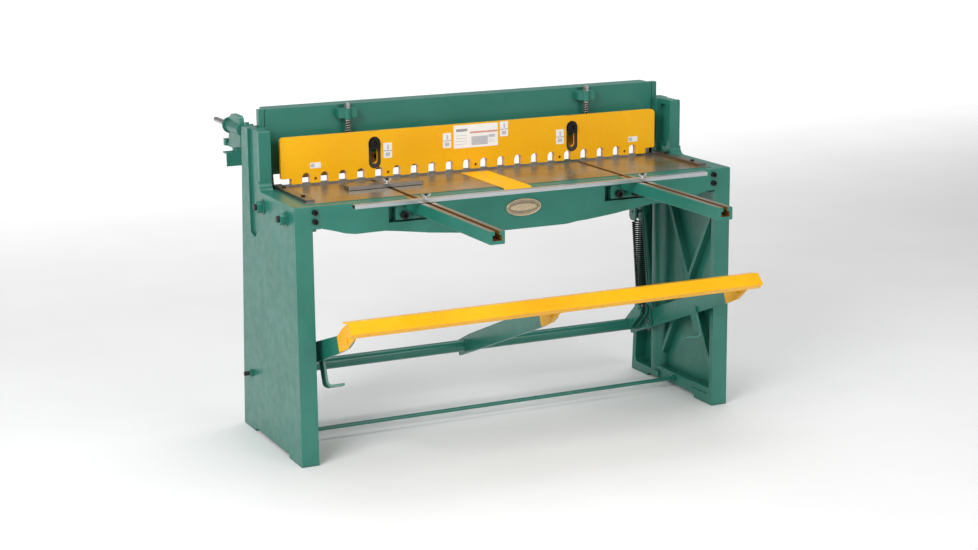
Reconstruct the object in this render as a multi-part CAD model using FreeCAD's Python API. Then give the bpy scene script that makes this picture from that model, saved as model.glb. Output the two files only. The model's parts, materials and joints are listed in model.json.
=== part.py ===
import FreeCAD, Part
import math
import os

# Treadle-operated squaring shear with cast side frames.
# X runs along the blades, -Y is the operator's side, Z is up and the floor is Z = 0.
# The origin is the middle of the four anchor holes in the feet.  Millimetres.

V = FreeCAD.Vector

# ---------------------------------------------------------------- driving dimensions
FRAME_OUT = 795.0            # outer face of a side frame, from the middle
FRAME_IN = 736.0             # inner edge of a side frame's flanges
WEB_IN = 779.0               # inner face of the leg's web
FRONT_Y = -285.0             # front face of the legs
FOOT_BACK_Y = 285.0          # back edge of the legs at the floor
FRAME_TOP_Z = 1041.0         # top of the uprights
TOP_BACK_Y = 206.0           # back edge of the uprights at their top
UPRIGHT_Y = 48.0             # front face of the uprights
TABLE_Z = 847.0              # ground table surface
FLANGE = 22.0                # thickness of the legs' flanges

BED_Y1 = 126.0               # back face of the bed, where the lower blade is bolted
CUT_Y = 138.0                # plane where the two blades pass each other
BEAM_Y = 150.0               # front face of the crosshead
BEAM_T = 24.0                # thickness of the crosshead plate
BEAM_X = 752.6               # half length of the crosshead
BEAM_Z0 = 880.0
BEAM_Z1 = 1098.0
BLADE_X = 660.5              # half length of the blades, 1321 mm (52 in) cutting width

ARM_X = 704.0                # middle plane of the outer treadle arms
ARM_T = 10.0                 # thickness of a treadle arm
PIVOT_Y = 181.0              # treadle pivot axis
PIVOT_Z = 202.0
ARM_TILT = 20.9              # the arms rise by this angle at rest, degrees
LEVER_R = 100.0              # lever pin from the pivot, along the arm
LEVER_DROP = 8.5             # lever pin below the arm's middle line
LINK_TOP = (196.0, 905.0)    # link pin on the crosshead, Y and Z
LINK_PIN_R = 7.0
LINK_EYE_R = 10.3            # open pivot: the eye is larger than its pin

SPRING_X = 664.0             # return springs
HANGER_PIN = (129.0, 634.0)  # Y and Z
LUG_PIN = (85.0, 283.0)      # Y and Z at rest
SPRING_R = 21.0              # outer radius of a return spring

HOLD_Y = 81.0                # front face of the hold-down
HOLD_T = 14.0
HOLD_FOOT_Y = 106.0          # back of the hold-down's thick foot
HOLD_Z0 = 853.0
HOLD_Z1 = 1010.0
HOLD_X = 706.0
COMB_X = 669.0
NOTCH_PITCH = 65.0
NOTCHES = 20
STUD_X = 451.0               # hold-down studs
STUD_Y = 123.0
GUIDE_X = 373.0              # hold-down guide bolts and their slots
GUIDE_Z = 967.0

SLOT_X = 391.0               # T-slots of the table and of the extension arms
SLOT_NECK = 16.0
SLOT_HEAD = 30.0
EXT_FRONT_Y = -900.0         # front end of the extension arms
FRONT_BAR_Y = -385.0         # front gauge bar
SHORT_BAR_Y = -65.0          # short gauge bar

ROD_X = 660.0                # back gauge rods
ROD_Z = 965.0
ROD_R = 9.5
ROD_END_Y = 905.0
BACK_BAR_Y = 600.0           # front face of the back gauge bar
BACK_BAR_Z1 = 889.0          # top of the back gauge bar

GAP = 0.05                   # running clearance, on the radius or per side


# ---------------------------------------------------------------- shape helpers
def box(x0, x1, y0, y1, z0, z1):
    return Part.makeBox(x1 - x0, y1 - y0, z1 - z0, V(x0, y0, z0))


def rod(radius, start, end):
    """Round bar between two points."""
    a, b = V(*start), V(*end)
    return Part.makeCylinder(radius, a.distanceToPoint(b), a, b - a)


def tube(outer, inner, start, end):
    return rod(outer, start, end).cut(rod(inner, start, end))


def hexagon(across_flats, start, end):
    """Six-sided bar between two points, with its outer end chamfered round."""
    a, b = V(*start), V(*end)
    radius = across_flats / math.sqrt(3)
    points = [V(radius * math.cos(math.radians(60 * k)), radius * math.sin(math.radians(60 * k)), 0)
              for k in range(7)]
    length = a.distanceToPoint(b)
    bar = Part.Face(Part.makePolygon(points)).extrude(V(0, 0, length))
    cap = Part.makeCone(across_flats / 2 + length, across_flats / 2 * 0.97, length * 1.05)
    bar = bar.common(cap)
    bar.Placement = FreeCAD.Placement(a, FreeCAD.Rotation(V(0, 0, 1), b - a))
    return bar


def outline(points):
    """Closed wire in the XY plane; a point with a third value is rounded to that radius."""
    corners = [(V(p[0], p[1], 0), p[2] if len(p) > 2 else 0.0) for p in points]
    count = len(corners)
    starts, ends, arcs = [], [], []
    for k, (corner, radius) in enumerate(corners):
        before = (corners[k - 1][0] - corner).normalize()
        after = (corners[(k + 1) % count][0] - corner).normalize()
        if radius == 0:
            starts.append(corner)
            ends.append(corner)
            arcs.append(None)
            continue
        half = before.getAngle(after) / 2
        reach = radius / math.tan(half)
        middle = corner + (before + after).normalize() * (radius / math.sin(half) - radius)
        starts.append(corner + before * reach)
        ends.append(corner + after * reach)
        arcs.append(middle)
    edges = []
    for k in range(count):
        if arcs[k] is not None:
            edges.append(Part.Arc(starts[k], arcs[k], ends[k]).toShape())
        following = starts[(k + 1) % count]
        if ends[k].distanceToPoint(following) > 1e-6:
            edges.append(Part.LineSegment(ends[k], following).toShape())
    return Part.Wire(edges)


def plate_x(points, x0, x1):
    """Outline given as (y, z[, radius]), extruded along X."""
    solid = Part.Face(outline(points)).extrude(V(0, 0, x1 - x0))
    turn = FreeCAD.Rotation(V(0, 1, 0), V(0, 0, 1), V(1, 0, 0), "XYZ")
    solid.Placement = FreeCAD.Placement(V(x0, 0, 0), turn)
    return solid


def plate_y(points, y0, y1):
    """Outline given as (x, z[, radius]), extruded along Y."""
    solid = Part.Face(outline(points)).extrude(V(0, 0, y1 - y0))
    solid.Placement = FreeCAD.Placement(V(0, y1, 0), FreeCAD.Rotation(V(1, 0, 0), 90))
    return solid


def plate_z(points, z0, z1):
    """Outline given as (x, y[, radius]), extruded along Z."""
    solid = Part.Face(outline(points)).extrude(V(0, 0, z1 - z0))
    solid.translate(V(0, 0, z0))
    return solid


def rectangle(a0, a1, b0, b1, radius):
    return [(a0, b0, radius), (a1, b0, radius), (a1, b1, radius), (a0, b1, radius)]


def mirrored(shape):
    return shape.mirror(V(0, 0, 0), V(1, 0, 0))


def both(shape):
    """A piece and its mirror image on the other side."""
    return [shape, mirrored(shape)]


def joined(shapes):
    solid = shapes[0].multiFuse(shapes[1:]) if len(shapes) > 1 else shapes[0]
    return solid.removeSplitter()


def without(shape, cutters):
    return shape.cut(Part.makeCompound(cutters))


def export(name, shape):
    solids = []
    for piece in shape if isinstance(shape, list) else [shape]:
        solids += piece.Solids
    body = solids[0] if len(solids) == 1 else Part.makeCompound(solids)
    body.exportStep(os.path.join("parts", name + ".step"))
    print(f"{name:26s} solids {len(solids)} valid {body.isValid()} volume {body.Volume / 1000:.1f} cm3")


def socket_screw(head_r, shank_r, face, axis, head_len, shank_len):
    """Socket head screw: the head stands out of the face along axis, the shank goes in."""
    point, way = V(*face), V(*axis)
    screw = rod(head_r, point, point + way * head_len).fuse(rod(shank_r, point, point - way * shank_len))
    depth = head_len * 0.6
    socket = hexagon(head_r, point + way * (head_len - depth), point + way * (head_len + 1))
    return screw.cut(socket)


# ---------------------------------------------------------------- side frames
def back_edge(z):
    """Y of the frame's slanting back edge at height z."""
    return FOOT_BACK_Y + (TOP_BACK_Y - FOOT_BACK_Y) * z / FRAME_TOP_Z


SLOT_Y0 = BEAM_Y - GAP       # guide slot of the crosshead
SLOT_Y1 = 182.0
SLOT_FLOOR_X = 757.0
SLOT_Z0 = 815.0
GUIDE_BLOCK_Y = 120.0        # front of the upright's guide block
SEAT_Z = 770.0               # solid bolting face for the bed, above this height
ANCHOR_X = 765.0
ANCHOR_Y = 225.0
ANCHOR_R = 8.5
FRAME_BOLTS = ((-205.0, 801.0), (14.0, 802.0))
EAR_SCREWS = (798.0, 827.5)
EAR_SCREW_X = FRAME_IN - 8
EAR_X = 703.0
EAR_Z = 773.0
TIE_Y = -14.0
TIE_Z = 34.0
TIE_R = 7.0
LEDGE_X = 744.0              # inner face of the ledge along the bottom of the leg
LEDGE_Y = (-148.0, 100.0)
TIE_END = 771.0              # the tie rod ends blind in the ledges
PIVOT_R = 7.0                # pivot screws of the treadle
FOOT_LIFT = 12.0             # the feet stand proud of the leg's bottom edge by this
GIB_SCREW_X = 747.0
GIB_SCREW_Z = (870.0, 940.0, 1010.0)
GIB_T = SLOT_Y1 - BEAM_Y - BEAM_T - GAP


def frame_profile():
    return [(FRONT_Y, 0, 4), (-165, 0), (-165, FOOT_LIFT, 6), (164, FOOT_LIFT, 6), (164, 0),
            (FOOT_BACK_Y, 0, 4), (TOP_BACK_Y, FRAME_TOP_Z, 10), (UPRIGHT_Y, FRAME_TOP_Z, 4),
            (UPRIGHT_Y, TABLE_Z, 26), (FRONT_Y, TABLE_Z, 4)]


def leg_pocket():
    """Open side of the leg, inside its flanges."""
    z0, z1, r = 34.0, SEAT_Z, 18
    return plate_x([(FRONT_Y + FLANGE, z0, r), (back_edge(z0) - FLANGE, z0, r),
                    (back_edge(z1) - FLANGE, z1, r), (FRONT_Y + FLANGE, z1, r)], FRAME_IN - 1, WEB_IN)


def upright_groove():
    """Relief in the outer face of the upright, open at the top."""
    y0, y1, depth = 62.0, 147.0, 9.0
    return plate_x([(y0, 1060), (y1, 1060), (y1, 697, 8), (106, 683, 12), (y0, 715, 8)],
                   FRAME_OUT - depth, FRAME_OUT + 1)


def upright_inner_relief():
    """Inner side of the upright: thin behind the front flange, with rounded ends."""
    flange = box(FRAME_IN - 1, 750, UPRIGHT_Y - 30, GUIDE_BLOCK_Y, TABLE_Z, FRAME_TOP_Z + 1)
    pocket = plate_x(rectangle(UPRIGHT_Y + 18, GUIDE_BLOCK_Y, 872, 1024, 20), 749, 763)
    return [flange, pocket]


def leg_ribs():
    """Half-round column and crossed ribs on the inside of the leg."""
    column = rod(42, (WEB_IN, 132, 30), (WEB_IN, 132, SEAT_Z + 5))
    column = column.common(box(FRAME_IN, WEB_IN + 5, 60, 200, 0, 900))
    width = 8.0
    depth_x = WEB_IN - 26
    ribs = []
    for (y0, z0), (y1, z1) in (((-268, 80), (92, 745)), ((-268, 745), (92, 110))):
        along = V(0, y1 - y0, z1 - z0).normalize()
        side = V(0, -along.z, along.y) * width
        ends = [V(depth_x, y0, z0) + side, V(depth_x, y1, z1) + side,
                V(depth_x, y1, z1) - side, V(depth_x, y0, z0) - side]
        ribs.append(Part.Face(Part.makePolygon(ends + ends[:1])).extrude(V(WEB_IN + 2 - depth_x, 0, 0)))
    boss = rod(34, (746, PIVOT_Y, PIVOT_Z), (WEB_IN + 2, PIVOT_Y, PIVOT_Z))
    ledge = box(LEDGE_X, WEB_IN + 2, LEDGE_Y[0], LEDGE_Y[1] + 30, 20, 52)
    block = box(LEDGE_X - 4, WEB_IN + 2, FRONT_Y + 10, LEDGE_Y[0], 20, 57)
    return [column, boss, ledge, block] + ribs


def side_frame():
    """Right-hand leg and upright, one casting."""
    body = plate_x(frame_profile(), FRAME_IN, FRAME_OUT)
    body = without(body, [leg_pocket(), upright_groove()] + upright_inner_relief())
    ear = plate_y([(EAR_X, EAR_Z, 8), (FRAME_IN + 2, EAR_Z), (FRAME_IN + 2, TABLE_Z), (EAR_X, TABLE_Z, 3)],
                  FRONT_Y, FRONT_Y + FLANGE)
    body = joined([body, ear] + leg_ribs())
    corner = box(FRAME_OUT - 4, FRAME_OUT + 1, UPRIGHT_Y - 1, UPRIGHT_Y + 18, TABLE_Z + 28, FRAME_TOP_Z + 1)
    step = box(FRAME_IN - 1, LEDGE_X, LEDGE_Y[0], LEDGE_Y[1] - 10, -1, 60)
    holes = [corner, step, box(FRAME_IN - 1, SLOT_FLOOR_X, SLOT_Y0, SLOT_Y1, SLOT_Z0, FRAME_TOP_Z + 1)]
    holes += [rod(10.1, (FRAME_IN - 1, y, z), (FRAME_OUT + 1, y, z)) for y, z in FRAME_BOLTS]
    holes += [rod(6.1, (EAR_SCREW_X, FRONT_Y - 1, z), (EAR_SCREW_X, FRONT_Y + 25, z)) for z in EAR_SCREWS]
    holes += [rod(ANCHOR_R, (ANCHOR_X, s * ANCHOR_Y, -1), (ANCHOR_X, s * ANCHOR_Y, 36)) for s in (-1, 1)]
    holes.append(rod(PIVOT_R + 0.1, (740, PIVOT_Y, PIVOT_Z), (FRAME_OUT + 1, PIVOT_Y, PIVOT_Z)))
    holes.append(rod(TIE_R + 0.1, (740, TIE_Y, TIE_Z), (TIE_END + 1, TIE_Y, TIE_Z)))
    holes += [rod(5.1, (GIB_SCREW_X, SLOT_Y1 - 1, z), (GIB_SCREW_X, 240, z)) for z in GIB_SCREW_Z]
    return without(body, holes)


def gib():
    """Wear strip behind the crosshead's end, pushed by three set screws."""
    return box(FRAME_IN + 1, SLOT_FLOOR_X - 0.5, SLOT_Y1 - GIB_T, SLOT_Y1, SLOT_Z0, FRAME_TOP_Z - 4)


def gib_screws():
    pieces = []
    for z in GIB_SCREW_Z:
        face = back_edge(z)
        pieces.append(rod(5, (GIB_SCREW_X, SLOT_Y1, z), (GIB_SCREW_X, face + 22, z)))
        nut = hexagon(17, (GIB_SCREW_X, face + 1, z), (GIB_SCREW_X, face + 10, z))
        pieces.append(nut.cut(rod(5.05, (GIB_SCREW_X, face, z), (GIB_SCREW_X, face + 12, z))))
    return [side for piece in pieces for side in both(piece)]


def frame_bolts():
    """Studs with washer and large nut that tie the frames to the bed's ends."""
    pieces = []
    for y, z in FRAME_BOLTS:
        stud = rod(10, (712, y, z), (FRAME_OUT + 32, y, z))
        washer = tube(24, 10.05, (FRAME_OUT, y, z), (FRAME_OUT + 4, y, z))
        nut = hexagon(34, (FRAME_OUT + 4, y, z), (FRAME_OUT + 23, y, z))
        nut = nut.cut(rod(10.05, (FRAME_OUT, y, z), (FRAME_OUT + 40, y, z)))
        for piece in (stud, washer, nut):
            pieces += both(piece)
    return pieces


def ear_screws():
    pieces = []
    for z in EAR_SCREWS:
        pieces += both(socket_screw(9, 6, (EAR_SCREW_X, FRONT_Y, z), (0, -1, 0), 10, FLANGE))
    return pieces


def tie_rod():
    return rod(TIE_R, (-TIE_END, TIE_Y, TIE_Z), (TIE_END, TIE_Y, TIE_Z))


def tie_rod_nuts():
    """Nuts that bear on the ledges from between the legs."""
    nut = hexagon(21, (LEDGE_X, TIE_Y, TIE_Z), (LEDGE_X - 11, TIE_Y, TIE_Z))
    return both(nut.cut(rod(TIE_R + GAP, (LEDGE_X - 12, TIE_Y, TIE_Z), (LEDGE_X + 1, TIE_Y, TIE_Z))))


# ---------------------------------------------------------------- bed
APRON_T = 18.0
RIM_Z = TABLE_Z - 2          # painted front rim, just below the ground surface
RIM_Y = FRONT_Y + 45
BOSS_Z = 796.0               # underside of the T-slot bosses
SLOT_END_Y = 80.0
WINDOW_HALF = 87.0           # half width of the apron's windows for the extension arms
WINDOW_Z = 771.0             # bottom edge of the windows
ARM_SEAT_Y = FRONT_Y + 22    # bolting face behind each window
ARM_FLANGE_HALF = 60.0
ARM_FLANGE_Z = 776.0
ARM_FLANGE_T = 16.0
ARM_SCREW_X = 32.0           # flange screws on either side of the slot
ARM_SCREW_Z = 792.0
EXT_HALF = 25.0              # half width of an extension arm
EXT_Z0 = 807.0               # underside of an extension arm


def t_slot(x, y0, y1):
    """T-slot cut down from the table height."""
    neck = box(x - SLOT_NECK / 2, x + SLOT_NECK / 2, y0, y1, TABLE_Z - 14, TABLE_Z + 5)
    head = box(x - SLOT_HEAD / 2, x + SLOT_HEAD / 2, y0, y1, TABLE_Z - 30, TABLE_Z - 13)
    return [neck, head]


def apron():
    half = [(EAR_X, 773), (665, 763), (625, 751, 60), (592, 746, 60), (492, 747, 80), (441, 741, 80),
            (336, 726, 200), (237, 716, 200), (100, 708, 300)]
    left = [(-p[0], *p[1:]) for p in reversed(half)]
    lower = half + left
    return plate_y([(-EAR_X, RIM_Z), (EAR_X, RIM_Z)] + lower, FRONT_Y, FRONT_Y + APRON_T)


def belly_rib():
    """Deeper stiffening rib close behind the apron."""
    half = [(300, 745), (285, 721, 60), (170, 704, 250)]
    left = [(-p[0], *p[1:]) for p in reversed(half)]
    return plate_y([(-300, 830), (300, 830)] + half + left, FRONT_Y + APRON_T, FRONT_Y + APRON_T + 20)


def bed():
    shapes = [box(-FRAME_IN, FRAME_IN, FRONT_Y + FLANGE, BED_Y1, 822, TABLE_Z),
              box(-EAR_X, EAR_X, FRONT_Y, FRONT_Y + FLANGE, 822, RIM_Z), apron(), belly_rib(),
              box(-FRAME_IN, FRAME_IN, 92, BED_Y1, 740, 823)]
    for side in (-1, 1):
        x0, x1 = sorted((side * (FRAME_IN - 20), side * FRAME_IN))
        shapes.append(box(x0, x1, FRONT_Y + FLANGE, BED_Y1, 762, 823))
        shapes.append(box(side * SLOT_X - 32, side * SLOT_X + 32, ARM_SEAT_Y, BED_Y1, BOSS_Z, 823))
        shapes.append(box(side * SLOT_X - ARM_FLANGE_HALF, side * SLOT_X + ARM_FLANGE_HALF, ARM_SEAT_Y,
                          ARM_SEAT_Y + 26, WINDOW_Z - 16, 823))
        shapes.append(box(side * SLOT_X - WINDOW_HALF, side * SLOT_X + WINDOW_HALF, FRONT_Y + 2,
                          ARM_SEAT_Y + 26, WINDOW_Z - 16, WINDOW_Z))
    for x in (-560, -200, 0, 200, 560):
        shapes.append(box(x - 8, x + 8, FRONT_Y + 10, BED_Y1 - 10, 762, 823))
    body = joined(shapes)
    cutters = [box(-FRAME_IN - 1, FRAME_IN + 1, FRONT_Y - 1, RIM_Y, RIM_Z, TABLE_Z + 1)]
    for side in (-1, 1):
        cutters += t_slot(side * SLOT_X, FRONT_Y - 1, SLOT_END_Y)
        cutters.append(box(side * SLOT_X - WINDOW_HALF, side * SLOT_X + WINDOW_HALF, FRONT_Y - 1, ARM_SEAT_Y,
                           WINDOW_Z, 822))
        cutters.append(box(side * SLOT_X - EXT_HALF, side * SLOT_X + EXT_HALF, FRONT_Y - 1, ARM_SEAT_Y,
                           EXT_Z0, TABLE_Z + 1))
        for y, z in FRAME_BOLTS:
            cutters.append(rod(10.1, (side * 700, y, z), (side * 740, y, z)))
        for x in (SLOT_X - ARM_SCREW_X, SLOT_X + ARM_SCREW_X):
            start = (side * x, FRONT_Y, ARM_SCREW_Z)
            cutters.append(rod(8.1, start, (side * x, ARM_SEAT_Y + 27, ARM_SCREW_Z)))
        for y in SIDE_SCREW_Y:
            cutters.append(rod(4.1, (side * SIDE_GAUGE_X, y, 800), (side * SIDE_GAUGE_X, y, TABLE_Z + 1)))
    for k in range(BLADE_SCREWS):
        x = blade_screw_x(k)
        cutters.append(rod(5.1, (x, 90, 832), (x, BED_Y1 + 1, 832)))
    return without(body, cutters)


BLADE_SCREWS = 10
LOWER_BLADE_Z0 = 817.0


def blade_screw_x(k):
    return (k - (BLADE_SCREWS - 1) / 2) * 138.0


def lower_blade():
    blade = box(-BLADE_X, BLADE_X, BED_Y1, CUT_Y, LOWER_BLADE_Z0, TABLE_Z)
    cutters = []
    for k in range(BLADE_SCREWS):
        x = blade_screw_x(k)
        cutters.append(rod(5.1, (x, BED_Y1 - 1, 832), (x, CUT_Y + 1, 832)))
        cutters.append(rod(8.6, (x, CUT_Y - 6, 832), (x, CUT_Y + 1, 832)))
    return without(blade, cutters)


def lower_blade_screws():
    faces = [(blade_screw_x(k), CUT_Y - 6, 832) for k in range(BLADE_SCREWS)]
    return [socket_screw(8, 5, face, (0, 1, 0), 5, 34) for face in faces]


# ---------------------------------------------------------------- table fittings
SIDE_GAUGE_X = 719.0
SIDE_GAUGE_Y = (-225.0, 92.0)
SIDE_SCREW_Y = (-160.0, 20.0)


def side_gauge():
    bar = box(SIDE_GAUGE_X - 15, SIDE_GAUGE_X + 15, SIDE_GAUGE_Y[0], SIDE_GAUGE_Y[1], TABLE_Z, TABLE_Z + 10)
    cutters = []
    for y in SIDE_SCREW_Y:
        cutters.append(rod(4.1, (SIDE_GAUGE_X, y, TABLE_Z - 1), (SIDE_GAUGE_X, y, TABLE_Z + 11)))
    return without(bar, cutters)


def side_gauge_screws():
    pieces = []
    for y in SIDE_SCREW_Y:
        pieces += both(socket_screw(7, 4, (SIDE_GAUGE_X, y, TABLE_Z + 10), (0, 0, 1), 5, 34))
    return pieces


def guide_strip():
    """Thin painted strip on the table, with its front end turned down over the rim."""
    t, x0, x1 = 1.6, -71.0, 29.0
    top = box(x0, x1, FRONT_Y - t, 48, TABLE_Z, TABLE_Z + t)
    lip = box(x0, x1, FRONT_Y - t, FRONT_Y, TABLE_Z - 18, TABLE_Z + t)
    return joined([top, lip])


def arm_screws():
    """Two socket screws through the flange of each extension arm."""
    pieces = []
    face_y = ARM_SEAT_Y - ARM_FLANGE_T
    for x in (SLOT_X - ARM_SCREW_X, SLOT_X + ARM_SCREW_X):
        pieces += both(socket_screw(12.5, 8, (x, face_y, ARM_SCREW_Z), (0, -1, 0), 14, ARM_FLANGE_T + 24))
    return pieces


def extension_arm(x):
    """T-slotted bar with a flange at its root that is screwed into the apron's window."""
    arm = plate_y(rectangle(x - EXT_HALF, x + EXT_HALF, EXT_Z0, TABLE_Z, 3), EXT_FRONT_Y, ARM_SEAT_Y)
    flange = plate_y([(x - ARM_FLANGE_HALF, ARM_FLANGE_Z, 4), (x + ARM_FLANGE_HALF, ARM_FLANGE_Z, 4),
                      (x + ARM_FLANGE_HALF, 821, 4), (x - ARM_FLANGE_HALF, 821, 4)],
                     ARM_SEAT_Y - ARM_FLANGE_T, ARM_SEAT_Y)
    ribs = [plate_x([(ARM_SEAT_Y - 2, ARM_FLANGE_Z + 6), (ARM_SEAT_Y - ARM_FLANGE_T, ARM_FLANGE_Z + 6),
                     (ARM_SEAT_Y - 60, EXT_Z0 + 1), (ARM_SEAT_Y - 2, EXT_Z0 + 1)], x - 5, x + 5)]
    body = joined([arm, flange] + ribs)
    cutters = t_slot(x, EXT_FRONT_Y - 1, ARM_SEAT_Y + 1)
    for offset in (-ARM_SCREW_X, ARM_SCREW_X):
        start = (x + offset, FRONT_Y - 1, ARM_SCREW_Z)
        cutters.append(rod(8.1, start, (x + offset, ARM_SEAT_Y + 1, ARM_SCREW_Z)))
    return without(body, cutters)


def wing_nut(x, y, z):
    """Wing nut on a stud, with its wings along X."""
    hub = Part.makeCone(7, 6, 8, V(x, y, z))
    wings = []
    for s in (-1, 1):
        points = [(x + s * 4.8, z + 1), (x + s * 9, z + 3), (x + s * 15.5, z + 11), (x + s * 15, z + 14, 1),
                  (x + s * 11, z + 13.5, 1), (x + s * 4.8, z + 7)]
        wings.append(plate_y(points, y - 1.8, y + 1.8))
    return joined([hub] + wings).cut(rod(GAUGE_BOLT_R + GAP, (x, y, z - 1), (x, y, z + 30)))


def t_bolt(x, y, top):
    """Square-headed bolt in a T-slot."""
    half = SLOT_HEAD / 2 - 1.5
    head = box(x - half, x + half, y - half, y + half, TABLE_Z - 29.5, TABLE_Z - 21)
    return joined([head, rod(GAUGE_BOLT_R, (x, y, TABLE_Z - 25), (x, y, top))])


FRONT_BAR_Z = TABLE_Z + 1.5
FRONT_BAR_T = 12.0
FRONT_BAR_X = 636.0
GAUGE_BOLT_R = 4.0
GAUGE_BOLT_TOP = FRONT_BAR_Z + FRONT_BAR_T + 14


def front_gauge_bar():
    bar = plate_z(rectangle(-FRONT_BAR_X, FRONT_BAR_X, FRONT_BAR_Y - 12.5, FRONT_BAR_Y + 12.5, 2),
                  FRONT_BAR_Z, FRONT_BAR_Z + FRONT_BAR_T)
    hole = rod(4.3, (SLOT_X, FRONT_BAR_Y, 800), (SLOT_X, FRONT_BAR_Y, 900))
    return without(bar, both(hole))


def short_gauge_bar():
    """Short stop bar, clamped through its slot to the left T-slot."""
    x0, x1 = -535.0, -271.0
    bar = plate_z(rectangle(x0, x1, SHORT_BAR_Y - 25, SHORT_BAR_Y + 25, 4),
                  FRONT_BAR_Z, FRONT_BAR_Z + FRONT_BAR_T)
    return bar.cut(rod(4.3, (-SLOT_X, SHORT_BAR_Y, 800), (-SLOT_X, SHORT_BAR_Y, 900)))


# ---------------------------------------------------------------- treadle
def tilted(y_forward, w_up):
    """(Y, Z) at rest of a point given along and across the arms, from the pivot."""
    a = math.radians(ARM_TILT)
    return (PIVOT_Y - y_forward * math.cos(a) + w_up * math.sin(a),
            PIVOT_Z + y_forward * math.sin(a) + w_up * math.cos(a))


def arm_plate(points, x0, x1):
    """Plate outlined along and across the treadle arms, (forward, up[, radius])."""
    return plate_x([(*tilted(p[0], p[1]), *p[2:]) for p in points], x0, x1)


TUBE_R = 21.0
TUBE_X = 730.0
LEVER = tilted(LEVER_R, -LEVER_DROP)
POINT_DEPTH = 9.0            # depth of the pivot screw's point in the tube's plug
GUSSET_T = 6.0
GUSSET_BOLT_U = 735.0
BOARD_X = 735.0
BOARD_INSIDE = [(807, 1), (826.5, 8, 2), (811, 42, 2), (772, 50)]     # inner faces of the folded board


def torque_tube():
    return tube(TUBE_R, 15, (-TUBE_X, PIVOT_Y, PIVOT_Z), (TUBE_X, PIVOT_Y, PIVOT_Z))


def tube_bush():
    """Plug in the tube's end with the socket for the pivot screw's point."""
    plug = joined([rod(14.95, (690, PIVOT_Y, PIVOT_Z), (TUBE_X, PIVOT_Y, PIVOT_Z)),
                   rod(20, (TUBE_X, PIVOT_Y, PIVOT_Z), (TUBE_X + 5, PIVOT_Y, PIVOT_Z))])
    depth = POINT_DEPTH + GAP
    seat = Part.makeCone(0, depth, depth, V(TUBE_X + 5 - depth, PIVOT_Y, PIVOT_Z), V(1, 0, 0))
    return plug.cut(seat)


def pivot_screw():
    tip = 2.0
    x0 = TUBE_X + 5 - POINT_DEPTH + tip
    x1 = x0 + PIVOT_R - tip
    point = Part.makeCone(tip, PIVOT_R, PIVOT_R - tip, V(x0, PIVOT_Y, PIVOT_Z), V(1, 0, 0))
    screw = rod(PIVOT_R, (x1, PIVOT_Y, PIVOT_Z), (FRAME_OUT + 30, PIVOT_Y, PIVOT_Z))
    slot = box(FRAME_OUT + 27, FRAME_OUT + 31, PIVOT_Y - 12, PIVOT_Y + 12, PIVOT_Z - 1.2, PIVOT_Z + 1.2)
    return joined([point, screw]).cut(slot)


def pivot_jam_nut():
    nut = hexagon(22, (FRAME_OUT, PIVOT_Y, PIVOT_Z), (FRAME_OUT + 12, PIVOT_Y, PIVOT_Z))
    return nut.cut(rod(PIVOT_R + GAP, (FRAME_OUT - 1, PIVOT_Y, PIVOT_Z), (FRAME_OUT + 14, PIVOT_Y, PIVOT_Z)))


def treadle_arm(x):
    """Flat tapered arm with the tube through it; the outer arms have a lever hole."""
    points = [(-62, -30, 8), (-58, 26, 10), (60, 34, 60), (420, 38, 200), (760, 22, 4), (752, -10, 4),
              (712, -22, 8), (640, -26, 100), (60, -30, 100)]
    arm = arm_plate(points, x - ARM_T / 2, x + ARM_T / 2)
    cutters = [rod(TUBE_R, (x - 20, PIVOT_Y, PIVOT_Z), (x + 20, PIVOT_Y, PIVOT_Z))]
    if x != 0:
        cutters.append(rod(LINK_PIN_R, (x - 20, *LEVER), (x + 20, *LEVER)))
    y, z = tilted(GUSSET_BOLT_U, 0)
    cutters.append(rod(4.1, (x - 20, y, z), (x + 20, y, z)))
    return without(arm, cutters)


def treadle_board():
    """Folded plate: tread, sloping face and lower lip."""
    outer = [(773, 55), (815, 47, 5), (835, 5, 4), (808, -4)]
    return arm_plate(outer + BOARD_INSIDE, -BOARD_X, BOARD_X)


def gusset(x0):
    points = [(648, -26, 3), (716, -25, 12)] + BOARD_INSIDE + [(705, 42, 10), (648, 24, 3)]
    plate = arm_plate(points, x0, x0 + GUSSET_T)
    y, z = tilted(GUSSET_BOLT_U, 0)
    return plate.cut(rod(4.1, (x0 - 1, y, z), (x0 + GUSSET_T + 1, y, z)))


def gusset_bolt(x0, x1):
    """Hexagon bolt through gusset and arm, head on the left."""
    y, z = tilted(GUSSET_BOLT_U, 0)
    bolt = hexagon(13, (x0, y, z), (x0 - 5.5, y, z)).fuse(rod(4, (x0, y, z), (x1 + 11, y, z)))
    nut = hexagon(13, (x1, y, z), (x1 + 6.5, y, z)).cut(rod(4.05, (x1 - 1, y, z), (x1 + 9, y, z)))
    return [bolt, nut]


def stop_strap():
    """Bent flat bar under an outer arm; its foot turns inwards and meets the floor."""
    t, x1, x0 = 8.0, ARM_X - ARM_T / 2, 637.0
    low = -115.0
    shank = [(x1, -6), (x1, low, 20), (x0, low), (x0, low + t), (x1 - t, low + t, 12), (x1 - t, -6)]
    strap = plate_y(shank, -19, 19)
    tilt = FreeCAD.Rotation(V(1, 0, 0), -ARM_TILT)
    strap.Placement = FreeCAD.Placement(V(0, *tilted(425, 0)), tilt).multiply(strap.Placement)
    return strap


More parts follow.
